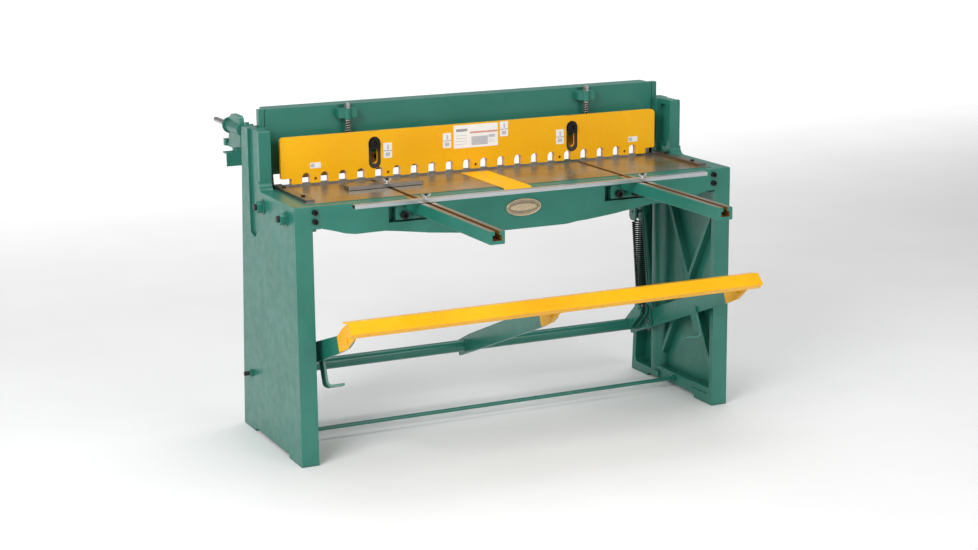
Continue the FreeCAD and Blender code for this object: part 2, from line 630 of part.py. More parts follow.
def spring_lug():
    """Fork on the tube for the lower end of a return spring."""
    cheeks = []
    outer = [(PIVOT_Y + 14, PIVOT_Z + 12, 4), (LUG_PIN[0] + 16, LUG_PIN[1] + 14, 15),
             (LUG_PIN[0] - 16, LUG_PIN[1] + 10, 15), (LUG_PIN[0] - 10, LUG_PIN[1] - 22, 10),
             (PIVOT_Y - 28, PIVOT_Z - 10, 6)]
    for x in (SPRING_X - 15, SPRING_X + 9):
        cheeks.append(plate_x(outer, x, x + 6))
    bridge = box(SPRING_X - 15, SPRING_X + 15, PIVOT_Y - 34, PIVOT_Y - 14, PIVOT_Z + 14, PIVOT_Z + 30)
    pin = rod(5, (SPRING_X - 19, *LUG_PIN), (SPRING_X + 19, *LUG_PIN))
    return joined(cheeks + [bridge, pin]).cut(rod(TUBE_R, (600, PIVOT_Y, PIVOT_Z), (720, PIVOT_Y, PIVOT_Z)))


def lever_pin():
    pin = rod(LINK_PIN_R, (ARM_X - 17, *LEVER), (ARM_X + 17, *LEVER))
    heads = [rod(11, (ARM_X + s * 17, *LEVER), (ARM_X + s * 20, *LEVER)) for s in (-1, 1)]
    return joined([pin] + heads)


# ---------------------------------------------------------------- links
LINK_ANGLE = math.atan2(LINK_TOP[0] - LEVER[0], LINK_TOP[1] - LEVER[1])
LINK_LEN = math.hypot(LINK_TOP[0] - LEVER[0], LINK_TOP[1] - LEVER[1])
HUB_END = 98.0               # top of the fork's hub, along the link


def along_link(distance):
    """(Y, Z) of a point on the link's middle line, from its lower pin."""
    return (LEVER[0] + distance * math.sin(LINK_ANGLE), LEVER[1] + distance * math.cos(LINK_ANGLE))


def link_clevis(x):
    """Fork over the treadle arm, threaded onto the link rod."""
    cheeks = []
    for s in (-1, 1):
        x0, x1 = sorted((x + s * 6.5, x + s * 14.5))
        cheek = rod(17, (x0, *LEVER), (x1, *LEVER))
        a, b = along_link(0), along_link(62)
        side = V(0, math.cos(LINK_ANGLE), -math.sin(LINK_ANGLE)) * 15
        ends = [V(x0, *a) + side, V(x0, *b) + side, V(x0, *b) - side, V(x0, *a) - side]
        cheeks += [cheek, Part.Face(Part.makePolygon(ends + ends[:1])).extrude(V(x1 - x0, 0, 0))]
    hub = rod(15, (x, *along_link(56)), (x, *along_link(HUB_END)))
    fork = joined(cheeks + [hub])
    return without(fork, [rod(LINK_PIN_R + GAP, (x - 30, *LEVER), (x + 30, *LEVER)),
                          rod(9, (x, *along_link(66)), (x, *along_link(HUB_END + 1)))])


def link_rod(x):
    """Round rod with a flat eye at its upper end; a jam nut locks it in the fork."""
    bar = rod(8.9, (x, *along_link(68)), (x, *along_link(LINK_LEN - 14)))
    eye = rod(19, (x - 6, *LINK_TOP), (x + 6, *LINK_TOP))
    nut = hexagon(27, (x, *along_link(HUB_END + 0.2)), (x, *along_link(HUB_END + 14)))
    return joined([bar, eye, nut]).cut(rod(LINK_EYE_R, (x - 10, *LINK_TOP), (x + 10, *LINK_TOP)))


# ---------------------------------------------------------------- return springs
SPRING_LEN = math.hypot(HANGER_PIN[0] - LUG_PIN[0], HANGER_PIN[1] - LUG_PIN[1])
SPRING_ANGLE = math.atan2(HANGER_PIN[0] - LUG_PIN[0], HANGER_PIN[1] - LUG_PIN[1])
WIRE_R = 2.5


def along_spring(distance):
    """(Y, Z) on the spring's axis, from the hanger pin downwards."""
    return (HANGER_PIN[0] - distance * math.sin(SPRING_ANGLE),
            HANGER_PIN[1] - distance * math.cos(SPRING_ANGLE))


def on_spring_axis(shape, x):
    """Moves a shape built down from the origin along -Z onto the spring's axis."""
    swing = FreeCAD.Rotation(V(1, 0, 0), -math.degrees(SPRING_ANGLE))
    shape.Placement = FreeCAD.Placement(V(x, *HANGER_PIN), swing)
    return shape


def return_spring(x):
    """Close-wound coil with its upper hook; the turns are the scallops of its outline."""
    top, bottom, turns = -35.0, -(SPRING_LEN - 52), 34
    pitch = (top - bottom) / turns
    mean = SPRING_R - WIRE_R
    points = [V(mean - WIRE_R, 0, top), V(mean, 0, top)]
    edges = [Part.LineSegment(points[0], points[1]).toShape()]
    for k in range(turns):
        z0 = top - k * pitch
        turn = Part.Arc(V(mean, 0, z0), V(SPRING_R, 0, z0 - pitch / 2), V(mean, 0, z0 - pitch))
        edges.append(turn.toShape())
    edges.append(Part.LineSegment(V(mean, 0, bottom), V(mean - WIRE_R, 0, bottom)).toShape())
    edges.append(Part.LineSegment(V(mean - WIRE_R, 0, bottom), points[0]).toShape())
    coil = Part.Face(Part.Wire(edges)).revolve(V(0, 0, 0), V(0, 0, 1), 360)
    hook = Part.makeTorus(9.5, WIRE_R, V(0, 0, 0), V(1, 0, 0))
    cap = joined([rod(mean - WIRE_R + 0.5, (0, 0, top - 4), (0, 0, top)),
                  rod(WIRE_R, (0, 0, top - 1), (0, 0, -9.5))])
    return on_spring_axis(joined([coil, hook, cap]), x)


HOOK_R = 14.5


def spring_hook(x):
    """Lower eye of the spring, on its end plug; it draws out of the coil as the spring stretches."""
    eye_z = -(SPRING_LEN - 3)
    eye = Part.makeTorus(HOOK_R, WIRE_R, V(0, 0, eye_z), V(1, 0, 0))
    shank = rod(WIRE_R, (0, 0, eye_z + HOOK_R), (0, 0, -(SPRING_LEN - 50)))
    plug = rod(SPRING_R - 2 * WIRE_R - 1, (0, 0, -(SPRING_LEN - 49)), (0, 0, -(SPRING_LEN - 62)))
    return on_spring_axis(joined([eye, shank, plug]), x)


def spring_hanger():
    """Forked bracket under the bed's back rail, with its pin."""
    y, z = HANGER_PIN
    low = z - 31
    cheeks = []
    for x in (SPRING_X - 19, SPRING_X + 11):
        cheeks.append(plate_x([(y - 22, low, 16), (y + 22, low, 16), (y + 22, z + 60, 20),
                               (BED_Y1 - 2, 740), (BED_Y1 - 34, 740), (y - 22, z + 60, 20)], x, x + 8))
    pad = plate_y([(SPRING_X - 30, 740), (SPRING_X + 30, 740), (SPRING_X + 30, 700, 6),
                   (SPRING_X + 18, 684, 6), (SPRING_X - 18, 684, 6), (SPRING_X - 30, 700, 6)],
                  BED_Y1 - 36, BED_Y1)
    pin = rod(5, (SPRING_X - 22, y, z), (SPRING_X + 22, y, z))
    return joined(cheeks + [pad, pin])


# ---------------------------------------------------------------- crosshead
EAR_TOP = 1087.0
EAR_LOW = 1055.0
EAR_HALF = 33.0
STUD_R = 6.0
RIB_Y = 222.0                # back of the crosshead's ribs
RIB_T = 18.0
END_GROOVE_X = 731.0         # relief groove beside each sliding end
RAKE_LOW = 862.0             # lowest corner of the upper blade, at the left
RAKE_HIGH = 890.0
UPPER_BLADE_TOP = 930.0
UPPER_SCREW_Z = 915.0


def crosshead_ribs():
    """Ladder welded to the plate's back: top and bottom rails and five stiffeners."""
    y1 = BEAM_Y + BEAM_T
    low_y = RIB_Y - 12
    shapes = [box(-725, 725, y1, RIB_Y, BEAM_Z1 - RIB_T, BEAM_Z1),
              box(-640, 640, y1, low_y, BEAM_Z0 + 6, BEAM_Z0 + 6 + RIB_T)]
    for x in (-600, -300, 0, 300, 600):
        shapes.append(plate_x([(y1, BEAM_Z0 + 10), (low_y, BEAM_Z0 + 10), (RIB_Y, BEAM_Z1 - 4),
                               (y1, BEAM_Z1 - 4)], x - 7, x + 7))
    return joined(shapes)


def crosshead():
    """Plate that carries the upper blade: spring ears, link lugs and a relief groove at each end."""
    y1 = BEAM_Y + BEAM_T
    shapes = [box(-BEAM_X, BEAM_X, BEAM_Y, y1, BEAM_Z0, BEAM_Z1)]
    for s in (-1, 1):
        ear = rectangle(s * STUD_X - EAR_HALF, s * STUD_X + EAR_HALF, EAR_LOW, EAR_TOP, 4)
        shapes.append(plate_y(ear, STUD_Y - 6, BEAM_Y + 1))
        shapes.append(rod(14, (s * STUD_X, STUD_Y, EAR_LOW - 4), (s * STUD_X, STUD_Y, EAR_TOP)))
        for offset in (-22, 10):
            x0 = s * ARM_X + offset
            shapes.append(plate_x([(y1 - 1, 886), (LINK_TOP[0] + 16, 886, 15), (LINK_TOP[0] + 16, 930, 15),
                                   (y1 - 1, 960)], x0, x0 + 12))
    body = joined(shapes)
    cutters = []
    for s in (-1, 1):
        start = (s * STUD_X, STUD_Y, EAR_LOW - 5)
        cutters.append(rod(STUD_R + 0.5, start, (s * STUD_X, STUD_Y, EAR_TOP + 1)))
        cutters.append(rod(LINK_PIN_R, (s * ARM_X - 30, *LINK_TOP), (s * ARM_X + 30, *LINK_TOP)))
        guide = (s * GUIDE_X, BEAM_Y - 1, GUIDE_Z)
        cutters.append(rod(GUIDE_R + GAP, guide, (s * GUIDE_X, y1 + 1, GUIDE_Z)))
        cutters.append(rod(ROD_R + GAP, (s * ROD_X, BEAM_Y + 4, ROD_Z), (s * ROD_X, y1 + 1, ROD_Z)))
        groove = sorted((s * END_GROOVE_X, s * (END_GROOVE_X + 3)))
        cutters.append(box(*groove, BEAM_Y - 1, BEAM_Y + 3, BEAM_Z0 - 1, BEAM_Z1 + 1))
    for k in range(BLADE_SCREWS):
        x = blade_screw_x(k)
        cutters.append(rod(5.1, (x, BEAM_Y - 1, UPPER_SCREW_Z), (x, y1 + 1, UPPER_SCREW_Z)))
    return without(body, cutters)


def upper_blade():
    """Raked blade; its cutting edge rises from left to right."""
    blade = plate_y([(-BLADE_X, RAKE_LOW), (BLADE_X, RAKE_HIGH), (BLADE_X, UPPER_BLADE_TOP),
                     (-BLADE_X, UPPER_BLADE_TOP)], CUT_Y + GAP, BEAM_Y)
    cutters = []
    for k in range(BLADE_SCREWS):
        x = blade_screw_x(k)
        cutters.append(rod(5.1, (x, CUT_Y - 1, UPPER_SCREW_Z), (x, BEAM_Y + 1, UPPER_SCREW_Z)))
        cutters.append(rod(8.6, (x, CUT_Y - 1, UPPER_SCREW_Z), (x, CUT_Y + 7, UPPER_SCREW_Z)))
    return without(blade, cutters)


def upper_blade_screws():
    pieces = []
    for k in range(BLADE_SCREWS):
        pieces.append(socket_screw(8, 5, (blade_screw_x(k), CUT_Y + 7, UPPER_SCREW_Z), (0, -1, 0), 6, 28))
    return pieces


def link_pin():
    pin = rod(LINK_PIN_R, (ARM_X - 22, *LINK_TOP), (ARM_X + 22, *LINK_TOP))
    head = rod(11, (ARM_X - 25, *LINK_TOP), (ARM_X - 22, *LINK_TOP))
    return joined([pin, head])


GUIDE_R = 11.0
GUIDE_HEAD_R = 18.0
RECESS_Y = HOLD_Y + 6


def guide_bolt():
    """Shouldered bolt on the crosshead that runs in a slot of the hold-down."""
    bolt = joined([rod(GUIDE_R, (GUIDE_X, RECESS_Y - 6, GUIDE_Z), (GUIDE_X, BEAM_Y + BEAM_T, GUIDE_Z)),
                   rod(GUIDE_HEAD_R, (GUIDE_X, HOLD_Y - 7, GUIDE_Z), (GUIDE_X, RECESS_Y - 0.5, GUIDE_Z))])
    return bolt.cut(hexagon(17, (GUIDE_X, HOLD_Y - 1, GUIDE_Z), (GUIDE_X, HOLD_Y - 8, GUIDE_Z)))


def gauge_rod():
    """Back gauge rod screwed into the back of the crosshead, with its locking collar."""
    bar = rod(ROD_R, (ROD_X, BEAM_Y + 5, ROD_Z), (ROD_X, ROD_END_Y - 1.5, ROD_Z))
    tip = Part.makeCone(ROD_R, ROD_R - 1.5, 1.5, V(ROD_X, ROD_END_Y - 1.5, ROD_Z), V(0, 1, 0))
    collar = hexagon(32, (ROD_X, BEAM_Y + BEAM_T, ROD_Z), (ROD_X, BEAM_Y + BEAM_T + 14, ROD_Z))
    return joined([bar, tip, collar])


# ---------------------------------------------------------------- hold-down
def racetrack(x, half_width, z0, z1, y0, y1):
    """Upright slot with round ends."""
    low, high = z0 + half_width, z1 - half_width
    middle = box(x - half_width, x + half_width, y0, y1, low, high)
    return middle.multiFuse([rod(half_width, (x, y0, z), (x, y1, z)) for z in (low, high)])


def hold_down():
    """Comb-edged clamp plate with a thick foot and two spring seats."""
    ear_z = 872.5
    front = [(-HOLD_X, ear_z, 5), (-COMB_X, ear_z, 4), (-COMB_X, HOLD_Z0), (COMB_X, HOLD_Z0),
             (COMB_X, ear_z, 4), (HOLD_X, ear_z, 5), (HOLD_X, HOLD_Z1, 14), (-HOLD_X, HOLD_Z1, 14)]
    foot = [(-COMB_X, HOLD_Z0), (COMB_X, HOLD_Z0), (COMB_X, 903, 4), (-COMB_X, 903, 4)]
    shapes = [plate_y(front, HOLD_Y, HOLD_Y + HOLD_T), plate_y(foot, HOLD_Y + HOLD_T - 1, HOLD_FOOT_Y)]
    for s in (-1, 1):
        shapes.append(box(s * STUD_X - 30, s * STUD_X + 30, HOLD_FOOT_Y - 1, CUT_Y - 2, 889, 903))
    body = joined(shapes)
    cutters = []
    for k in range(NOTCHES):
        x = (k - (NOTCHES - 1) / 2) * NOTCH_PITCH
        cutters.append(box(x - 15, x + 15, HOLD_Y - 1, HOLD_FOOT_Y + 1, HOLD_Z0 - 1, HOLD_Z0 + 20))
        cutters.append(rod(15, (x, HOLD_Y - 1, HOLD_Z0 + 20), (x, HOLD_FOOT_Y + 1, HOLD_Z0 + 20)))
    for s in (-1, 1):
        cutters.append(racetrack(s * GUIDE_X, 21.5, 883, 991, HOLD_Y - 1, RECESS_Y))
        cutters.append(racetrack(s * GUIDE_X, 12, 898, 980, HOLD_Y - 1, HOLD_FOOT_Y + 1))
        cutters.append(rod(STUD_R + GAP, (s * STUD_X, STUD_Y, 880), (s * STUD_X, STUD_Y, 910)))
    for x in (0, -325, 325, -585, 585):
        cutters.append(rod(5, (x, HOLD_Y - 1, HOLD_Z0 + 14), (x, HOLD_Y + 12, HOLD_Z0 + 14)))
    return without(body, cutters)


def hold_down_stud():
    """Stud screwed into the spring seat; its nuts rest on the crosshead's ear."""
    stud = rod(STUD_R, (STUD_X, STUD_Y, 889), (STUD_X, STUD_Y, EAR_TOP + 19))
    jam = hexagon(19, (STUD_X, STUD_Y, EAR_TOP + 0.1), (STUD_X, STUD_Y, EAR_TOP + 7))
    nut = hexagon(19, (STUD_X, STUD_Y, EAR_TOP + 7.3), (STUD_X, STUD_Y, EAR_TOP + 18))
    return joined([stud, nut, jam])


def hold_down_spring():
    """Compression coil round the stud; the turns are the scallops of its outline."""
    wire, outer, turns, z0, z1 = 1.6, 12.0, 20, 903.0, EAR_LOW - 4
    pitch = (z1 - z0) / turns
    inner = outer - 2 * wire
    edges = [Part.LineSegment(V(outer - wire, 0, z1), V(inner, 0, z1)).toShape(),
             Part.LineSegment(V(inner, 0, z1), V(inner, 0, z0)).toShape(),
             Part.LineSegment(V(inner, 0, z0), V(outer - wire, 0, z0)).toShape()]
    for k in range(turns):
        low = z0 + k * pitch
        high = low + pitch
        turn = Part.Arc(V(outer - wire, 0, low), V(outer, 0, (low + high) / 2), V(outer - wire, 0, high))
        edges.append(turn.toShape())
    coil = Part.Face(Part.Wire(edges)).revolve(V(0, 0, 0), V(0, 0, 1), 360)
    coil.translate(V(STUD_X, STUD_Y, 0))
    return coil


# ---------------------------------------------------------------- back gauge
def back_gauge_bar():
    """Angle bar; its upright leg is the stop face."""
    y0, z0, z1, leg = BACK_BAR_Y, 840.0, BACK_BAR_Z1, 6.0
    points = [(y0, z0), (y0 + leg, z0, 2), (y0 + leg, z1 - leg, 4), (y0 + 42, z1 - leg, 2),
              (y0 + 42, z1), (y0, z1, 2)]
    return plate_x(points, -722, 722)


def back_gauge_clamp():
    """Casting that slides on a rod, with a flange at its back and the bar under its foot."""
    y0, y1, low = BACK_BAR_Y, BACK_BAR_Y + 146, BACK_BAR_Z1
    web = plate_x([(y0 + 4, low, 3), (y1 + 30, low, 3), (y1 + 30, low + 10, 3), (y1 - 12, low + 14, 12),
                   (y1 - 12, 990, 12), (y1 - 50, 1012, 14), (y0 + 10, 1012, 22), (y0 + 2, 960, 16)],
                  ROD_X - 9, ROD_X + 9)
    boss = rod(22, (ROD_X, y0, ROD_Z), (ROD_X, y1, ROD_Z))
    flange = rod(29, (ROD_X, y1 - 9, ROD_Z), (ROD_X, y1, ROD_Z))
    foot = plate_z(rectangle(ROD_X - 30, ROD_X + 30, y0 + 2, y0 + 40, 8), low, low + 10)
    heel = plate_z(rectangle(ROD_X - 16, ROD_X + 16, y1 + 8, y1 + 34, 5), low, low + 24)
    body = joined([web, boss, flange, foot, heel])
    return body.cut(rod(ROD_R + GAP, (ROD_X, y0 - 1, ROD_Z), (ROD_X, y1 + 40, ROD_Z)))


def back_gauge_screws():
    """Locking collar ahead of each clamp, with its two set screws."""
    y0, y1 = BACK_BAR_Y - 112, BACK_BAR_Y - 32
    collar = tube(17, ROD_R + GAP, (ROD_X, y0, ROD_Z), (ROD_X, y1, ROD_Z))
    pieces = []
    for y in (y0 + 16, y1 - 16):
        collar = collar.cut(rod(4.1, (ROD_X, y, ROD_Z), (ROD_X, y, ROD_Z + 30)))
        screw = rod(4, (ROD_X, y, ROD_Z + ROD_R + 0.5), (ROD_X, y, ROD_Z + 22))
        head = rod(8, (ROD_X, y, ROD_Z + 22), (ROD_X, y, ROD_Z + 34))
        pieces.append(joined([screw, head]))
    return [side for piece in [collar] + pieces for side in both(piece)]


# ---------------------------------------------------------------- badge
def badge_plate():
    """Plain oval plate in the middle of the apron."""
    plate = Part.Face(Part.Wire(Part.Ellipse(V(0, 0, 0), 64, 29).toShape())).extrude(V(0, 0, 3))
    plate.Placement = FreeCAD.Placement(V(0, FRONT_Y, 780), FreeCAD.Rotation(V(1, 0, 0), 90))
    return plate


# ---------------------------------------------------------------- assembly
def build():
    os.makedirs("parts", exist_ok=True)
    right_frame = side_frame()
    export("right_side_frame", right_frame)
    export("left_side_frame", mirrored(right_frame))
    export("guide_gibs", both(gib()))
    export("gib_screws", gib_screws())
    export("frame_bolts", frame_bolts())
    export("ear_screws", ear_screws())
    export("tie_rod", tie_rod())
    export("tie_rod_nuts", tie_rod_nuts())
    export("pivot_screws", both(pivot_screw()))
    export("pivot_jam_nuts", both(pivot_jam_nut()))

    export("bed_casting", bed())
    export("lower_blade", lower_blade())
    export("lower_blade_screws", lower_blade_screws())
    export("badge_plate", badge_plate())
    export("side_gauges", both(side_gauge()))
    export("side_gauge_screws", side_gauge_screws())
    export("guide_strip", guide_strip())
    export("arm_screws", arm_screws())
    export("left_extension_arm", extension_arm(-SLOT_X))
    export("right_extension_arm", extension_arm(SLOT_X))
    export("spring_hangers", both(spring_hanger()))

    nut_z = FRONT_BAR_Z + FRONT_BAR_T
    export("front_gauge_bar", front_gauge_bar())
    export("front_gauge_bolts", both(t_bolt(SLOT_X, FRONT_BAR_Y, GAUGE_BOLT_TOP)))
    export("left_wing_nut", wing_nut(-SLOT_X, FRONT_BAR_Y, nut_z))
    export("right_wing_nut", wing_nut(SLOT_X, FRONT_BAR_Y, nut_z))
    export("short_gauge_bar", short_gauge_bar())
    export("short_gauge_bolt", t_bolt(-SLOT_X, SHORT_BAR_Y, GAUGE_BOLT_TOP))
    export("short_gauge_wing_nut", wing_nut(-SLOT_X, SHORT_BAR_Y, nut_z))

    export("torque_tube", torque_tube())
    export("tube_bushes", both(tube_bush()))
    export("left_treadle_arm", treadle_arm(-ARM_X))
    export("middle_treadle_arm", treadle_arm(0))
    export("right_treadle_arm", treadle_arm(ARM_X))
    export("treadle_board", treadle_board())
    outer = ARM_X + ARM_T / 2
    inner = ARM_X - ARM_T / 2
    middle = ARM_T / 2
    export("board_gussets", [gusset(-outer - GUSSET_T), gusset(-middle - GUSSET_T), gusset(inner - GUSSET_T)])
    export("gusset_bolts", gusset_bolt(-outer - GUSSET_T, -inner) + gusset_bolt(-middle - GUSSET_T, middle)
           + gusset_bolt(inner - GUSSET_T, outer))
    export("stop_straps", both(stop_strap()))
    export("spring_lugs", both(spring_lug()))
    export("lever_pins", both(lever_pin()))
    for name, x in (("left", -1), ("right", 1)):
        export(name + "_link_clevis", link_clevis(x * ARM_X))
        export(name + "_link_rod", link_rod(x * ARM_X))
        export(name + "_return_spring", return_spring(x * SPRING_X))
        export(name + "_spring_hook", spring_hook(x * SPRING_X))

    export("crosshead", crosshead())
    export("crosshead_ribs", crosshead_ribs())
    export("upper_blade", upper_blade())
    export("upper_blade_screws", upper_blade_screws())
    export("link_pins", both(link_pin()))
    export("hold_down_guide_bolts", both(guide_bolt()))
    export("gauge_rods", both(gauge_rod()))
    export("hold_down", hold_down())
    export("hold_down_studs", both(hold_down_stud()))
    export("hold_down_springs", both(hold_down_spring()))

    export("back_gauge_bar", back_gauge_bar())
    export("back_gauge_clamps", both(back_gauge_clamp()))
    export("back_gauge_collars", back_gauge_screws())


build()
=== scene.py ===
import bmesh
import bpy
import json
import math
from mathutils import Matrix, Vector


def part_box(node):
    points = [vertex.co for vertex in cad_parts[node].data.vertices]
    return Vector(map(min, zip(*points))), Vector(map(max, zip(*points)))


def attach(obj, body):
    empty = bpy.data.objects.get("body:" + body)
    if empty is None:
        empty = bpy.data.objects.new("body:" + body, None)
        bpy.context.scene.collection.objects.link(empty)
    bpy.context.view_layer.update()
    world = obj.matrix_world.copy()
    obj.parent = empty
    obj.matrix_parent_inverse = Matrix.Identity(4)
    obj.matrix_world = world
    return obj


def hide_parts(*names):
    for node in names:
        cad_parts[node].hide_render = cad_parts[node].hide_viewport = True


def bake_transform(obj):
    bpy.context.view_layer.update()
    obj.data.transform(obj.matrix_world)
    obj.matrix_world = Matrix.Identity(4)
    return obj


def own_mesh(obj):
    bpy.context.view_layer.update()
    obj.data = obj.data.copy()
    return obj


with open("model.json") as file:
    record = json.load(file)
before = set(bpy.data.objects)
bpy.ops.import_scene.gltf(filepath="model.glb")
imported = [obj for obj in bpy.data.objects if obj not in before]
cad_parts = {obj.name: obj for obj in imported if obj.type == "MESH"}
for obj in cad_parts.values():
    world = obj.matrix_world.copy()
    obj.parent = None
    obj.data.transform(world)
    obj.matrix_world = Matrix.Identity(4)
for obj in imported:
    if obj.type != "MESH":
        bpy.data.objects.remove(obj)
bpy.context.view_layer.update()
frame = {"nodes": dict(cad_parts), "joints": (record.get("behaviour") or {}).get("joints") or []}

# Looks of the treadle shear: materials, springs, threads, welds, labels, cast webs, badge, camera and light.
# Metres, in the CAD's own frame: X along the blades, -Y the operator's side, Z up from the floor.

MM = 0.001
NODES = frame["nodes"]


# ---------------------------------------------------------------- places and sizes of the CAD
def solids(node):
    """Lowest and highest corner of each separate solid of a CAD node, in order along X."""
    work = bmesh.new()
    work.from_mesh(NODES[node].data)
    bmesh.ops.remove_doubles(work, verts=work.verts, dist=1e-6)
    left, boxes = set(work.verts), []
    while left:
        group, edge = [], [left.pop()]
        while edge:
            vertex = edge.pop()
            group.append(vertex.co.copy())
            for link in vertex.link_edges:
                other = link.other_vert(vertex)
                if other in left:
                    left.remove(other)
                    edge.append(other)
        low = Vector([min(p[k] for p in group) for k in range(3)])
        high = Vector([max(p[k] for p in group) for k in range(3)])
        boxes.append((low, high))
    work.free()
    return sorted(boxes, key=lambda b: (b[0].x, b[0].y, b[0].z))


def middle(box):
    return (box[0] + box[1]) / 2


def extent(box):
    return box[1] - box[0]


TABLE_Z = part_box("bed_casting")[1].z
FRONT_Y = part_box("bed_casting")[0].y
HOLD_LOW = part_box("hold_down")[0]
GUIDE_BOLTS = solids("hold_down_guide_bolts")
ARM_SLOT_X = middle(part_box("right_extension_arm")).x
SLOT_HALF = 15.4 * MM                      # half width of a T-slot's head
SLOT_DEPTH = 30.5 * MM
GUIDE_HALF = 21.7 * MM                     # half width of the bare recess round a guide slot
FRAME_STUD_END = 9 * MM                    # length of a frame stud beyond its nut
STUD_NUTS = 20 * MM                        # height of the nuts on a hold-down stud
LONG = 0.1                                 # a stud is longer than this, its nuts and washers shorter


# ---------------------------------------------------------------- materials
class Paint:
    """A material's node tree, written as nested calls."""

    def __init__(self, name):
        self.material = bpy.data.materials.new(name)
        self.material.use_nodes = True
        self.tree = self.material.node_tree
        self.tree.nodes.clear()
        self.place = self.add("TexCoord").outputs["Object"]

    def add(self, kind, inputs=None, **settings):
        node = self.tree.nodes.new("ShaderNode" + kind)
        for key, value in settings.items():
            setattr(node, key, value)
        for key, value in (inputs or {}).items():
            if isinstance(value, bpy.types.NodeSocket):
                self.tree.links.new(value, node.inputs[key])
            else:
                node.inputs[key].default_value = value
        return node

    def maths(self, operation, a, b=0.0, c=0.0):
        return self.add("Math", {0: a, 1: b, 2: c}, operation=operation).outputs[0]

    def stretched(self, scale):
        """The piece's own coordinates, scaled along each axis."""
        return self.add("Mapping", {"Vector": self.place, "Scale": scale}).outputs[0]

    def noise(self, scale, detail=4.0, rough=0.55, place=None):
        """Value noise around 0.5; scale is in waves to the metre."""
        inputs = {"Vector": place or self.place, "Scale": scale, "Detail": detail, "Roughness": rough}
        return self.add("TexNoise", inputs).outputs["Fac"]

    def ramp(self, value, low, high, to_low=0.0, to_high=1.0):
        inputs = {"Value": value, "From Min": low, "From Max": high, "To Min": to_low, "To Max": to_high}
        return self.add("MapRange", inputs, clamp=True).outputs[0]

    def mix(self, share, a, b):
        """Colour between a and b."""
        node = self.add("Mix", data_type="RGBA")
        for index, value in ((0, share), (6, a), (7, b)):
            if isinstance(value, bpy.types.NodeSocket):
                self.tree.links.new(value, node.inputs[index])
            else:
                node.inputs[index].default_value = (*value, 1.0) if index else value
        return node.outputs[2]

    def axis(self, name):
        return self.add("SeparateXYZ", {0: self.place}).outputs[name]

    def facing(self, name):
        """Component of the surface's own normal along X, Y or Z."""
        normal = self.add("TexCoord").outputs["Normal"]
        return self.add("SeparateXYZ", {0: normal}).outputs[name]

    def edges(self, radius):
        """1 on sharp outer edges, 0 on faces."""
        soft = self.add("Bevel", {"Radius": radius}, samples=4).outputs[0]
        true = self.add("NewGeometry").outputs["True Normal"]
        dot = self.add("VectorMath", {0: soft, 1: true}, operation="DOT_PRODUCT").outputs["Value"]
        return self.ramp(dot, 0.985, 0.86)

    def crevices(self, distance):
        """1 in corners and under ledges, 0 in the open, from ambient occlusion; the enamels use it to paint
        shade in, the badge its patina.
        """
        shade = self.add("AmbientOcclusion", {"Distance": distance}, samples=4).outputs["AO"]
        return self.ramp(shade, 0.75, 0.25)

    def bump(self, height, distance, strength=1.0, rounded=0.0):
        inputs = {"Height": height, "Distance": distance, "Strength": strength}
        if rounded:
            inputs["Normal"] = self.add("Bevel", {"Radius": rounded}, samples=4).outputs[0]
        return self.add("Bump", inputs).outputs[0]

    def finish(self, **inputs):
        names = {key.replace("_", " "): value for key, value in inputs.items()}
        for key, value in names.items():
            if isinstance(value, tuple) and len(value) == 3:
                names[key] = (*value, 1.0)
        shader = self.add("BsdfPrincipled", names)
        self.add("OutputMaterial", {"Surface": shader.outputs[0]})
        return self.material


GREEN = (0.010, 0.150, 0.108)
GREEN_PALE = (0.018, 0.172, 0.128)
GREEN_WORN = (0.10, 0.30, 0.24)
# dark green for the dirt specks, and for the painted shade in corners and under ledges
GREEN_DIRT_AND_SHADE = (0.010, 0.040, 0.030)
YELLOW = (0.88, 0.42, 0.002)
YELLOW_PALE = (0.93, 0.47, 0.004)
# dark yellow for the dirt on worn edges, and for the painted shade in corners and under ledges
YELLOW_DIRT_AND_SHADE = (0.40, 0.17, 0.006)
OIL_BROWN = (0.27, 0.175, 0.04)
SLOT_BROWN = (0.22, 0.10, 0.018)
STEEL = (0.46, 0.45, 0.44)
STEEL_DARK = (0.20, 0.19, 0.18)
BLACK = (0.012, 0.012, 0.013)


def green_colour(paint):
    """Enamel colour with slow variation, lighter worn edges and painted shade in the corners and under
    ledges.
    """
    slow = paint.ramp(paint.noise(5.0, 3.0), 0.35, 0.65)
    colour = paint.mix(slow, GREEN, GREEN_PALE)
    speck = paint.ramp(paint.noise(160.0, 2.0), 0.66, 0.74, 0.0, 0.25)
    colour = paint.mix(speck, colour, GREEN_DIRT_AND_SHADE)
    patchy = paint.ramp(paint.noise(45.0), 0.42, 0.62, 0.15, 0.75)
    colour = paint.mix(paint.maths("MULTIPLY", paint.edges(1.6 * MM), patchy), colour, GREEN_WORN)
    # painted shade: ambient occlusion darkens the enamel toward dark green in corners and under ledges, at up
    # to 55 percent
    painted_corner_shade = paint.maths("MULTIPLY", paint.crevices(30 * MM), 0.55)
    return paint.mix(painted_corner_shade, colour, GREEN_DIRT_AND_SHADE)


def skin(paint, peel, depth):
    """Height of a painted surface: fine orange peel over a slow cast unevenness."""
    fine = paint.noise(peel, 2.0)
    cast = paint.noise(18.0, 3.0)
    return paint.maths("MULTIPLY_ADD", cast, depth, fine)


def cast_green():
    paint = Paint("cast_green_enamel")
    rough = paint.ramp(paint.noise(28.0), 0.3, 0.7, 0.30, 0.46)
    return paint.finish(Base_Color=green_colour(paint), Roughness=rough,
                        Coat_Weight=0.25, Coat_Roughness=0.18,
                        Normal=paint.bump(skin(paint, 300.0, 2.5), 0.35 * MM, 0.55, 1.6 * MM))


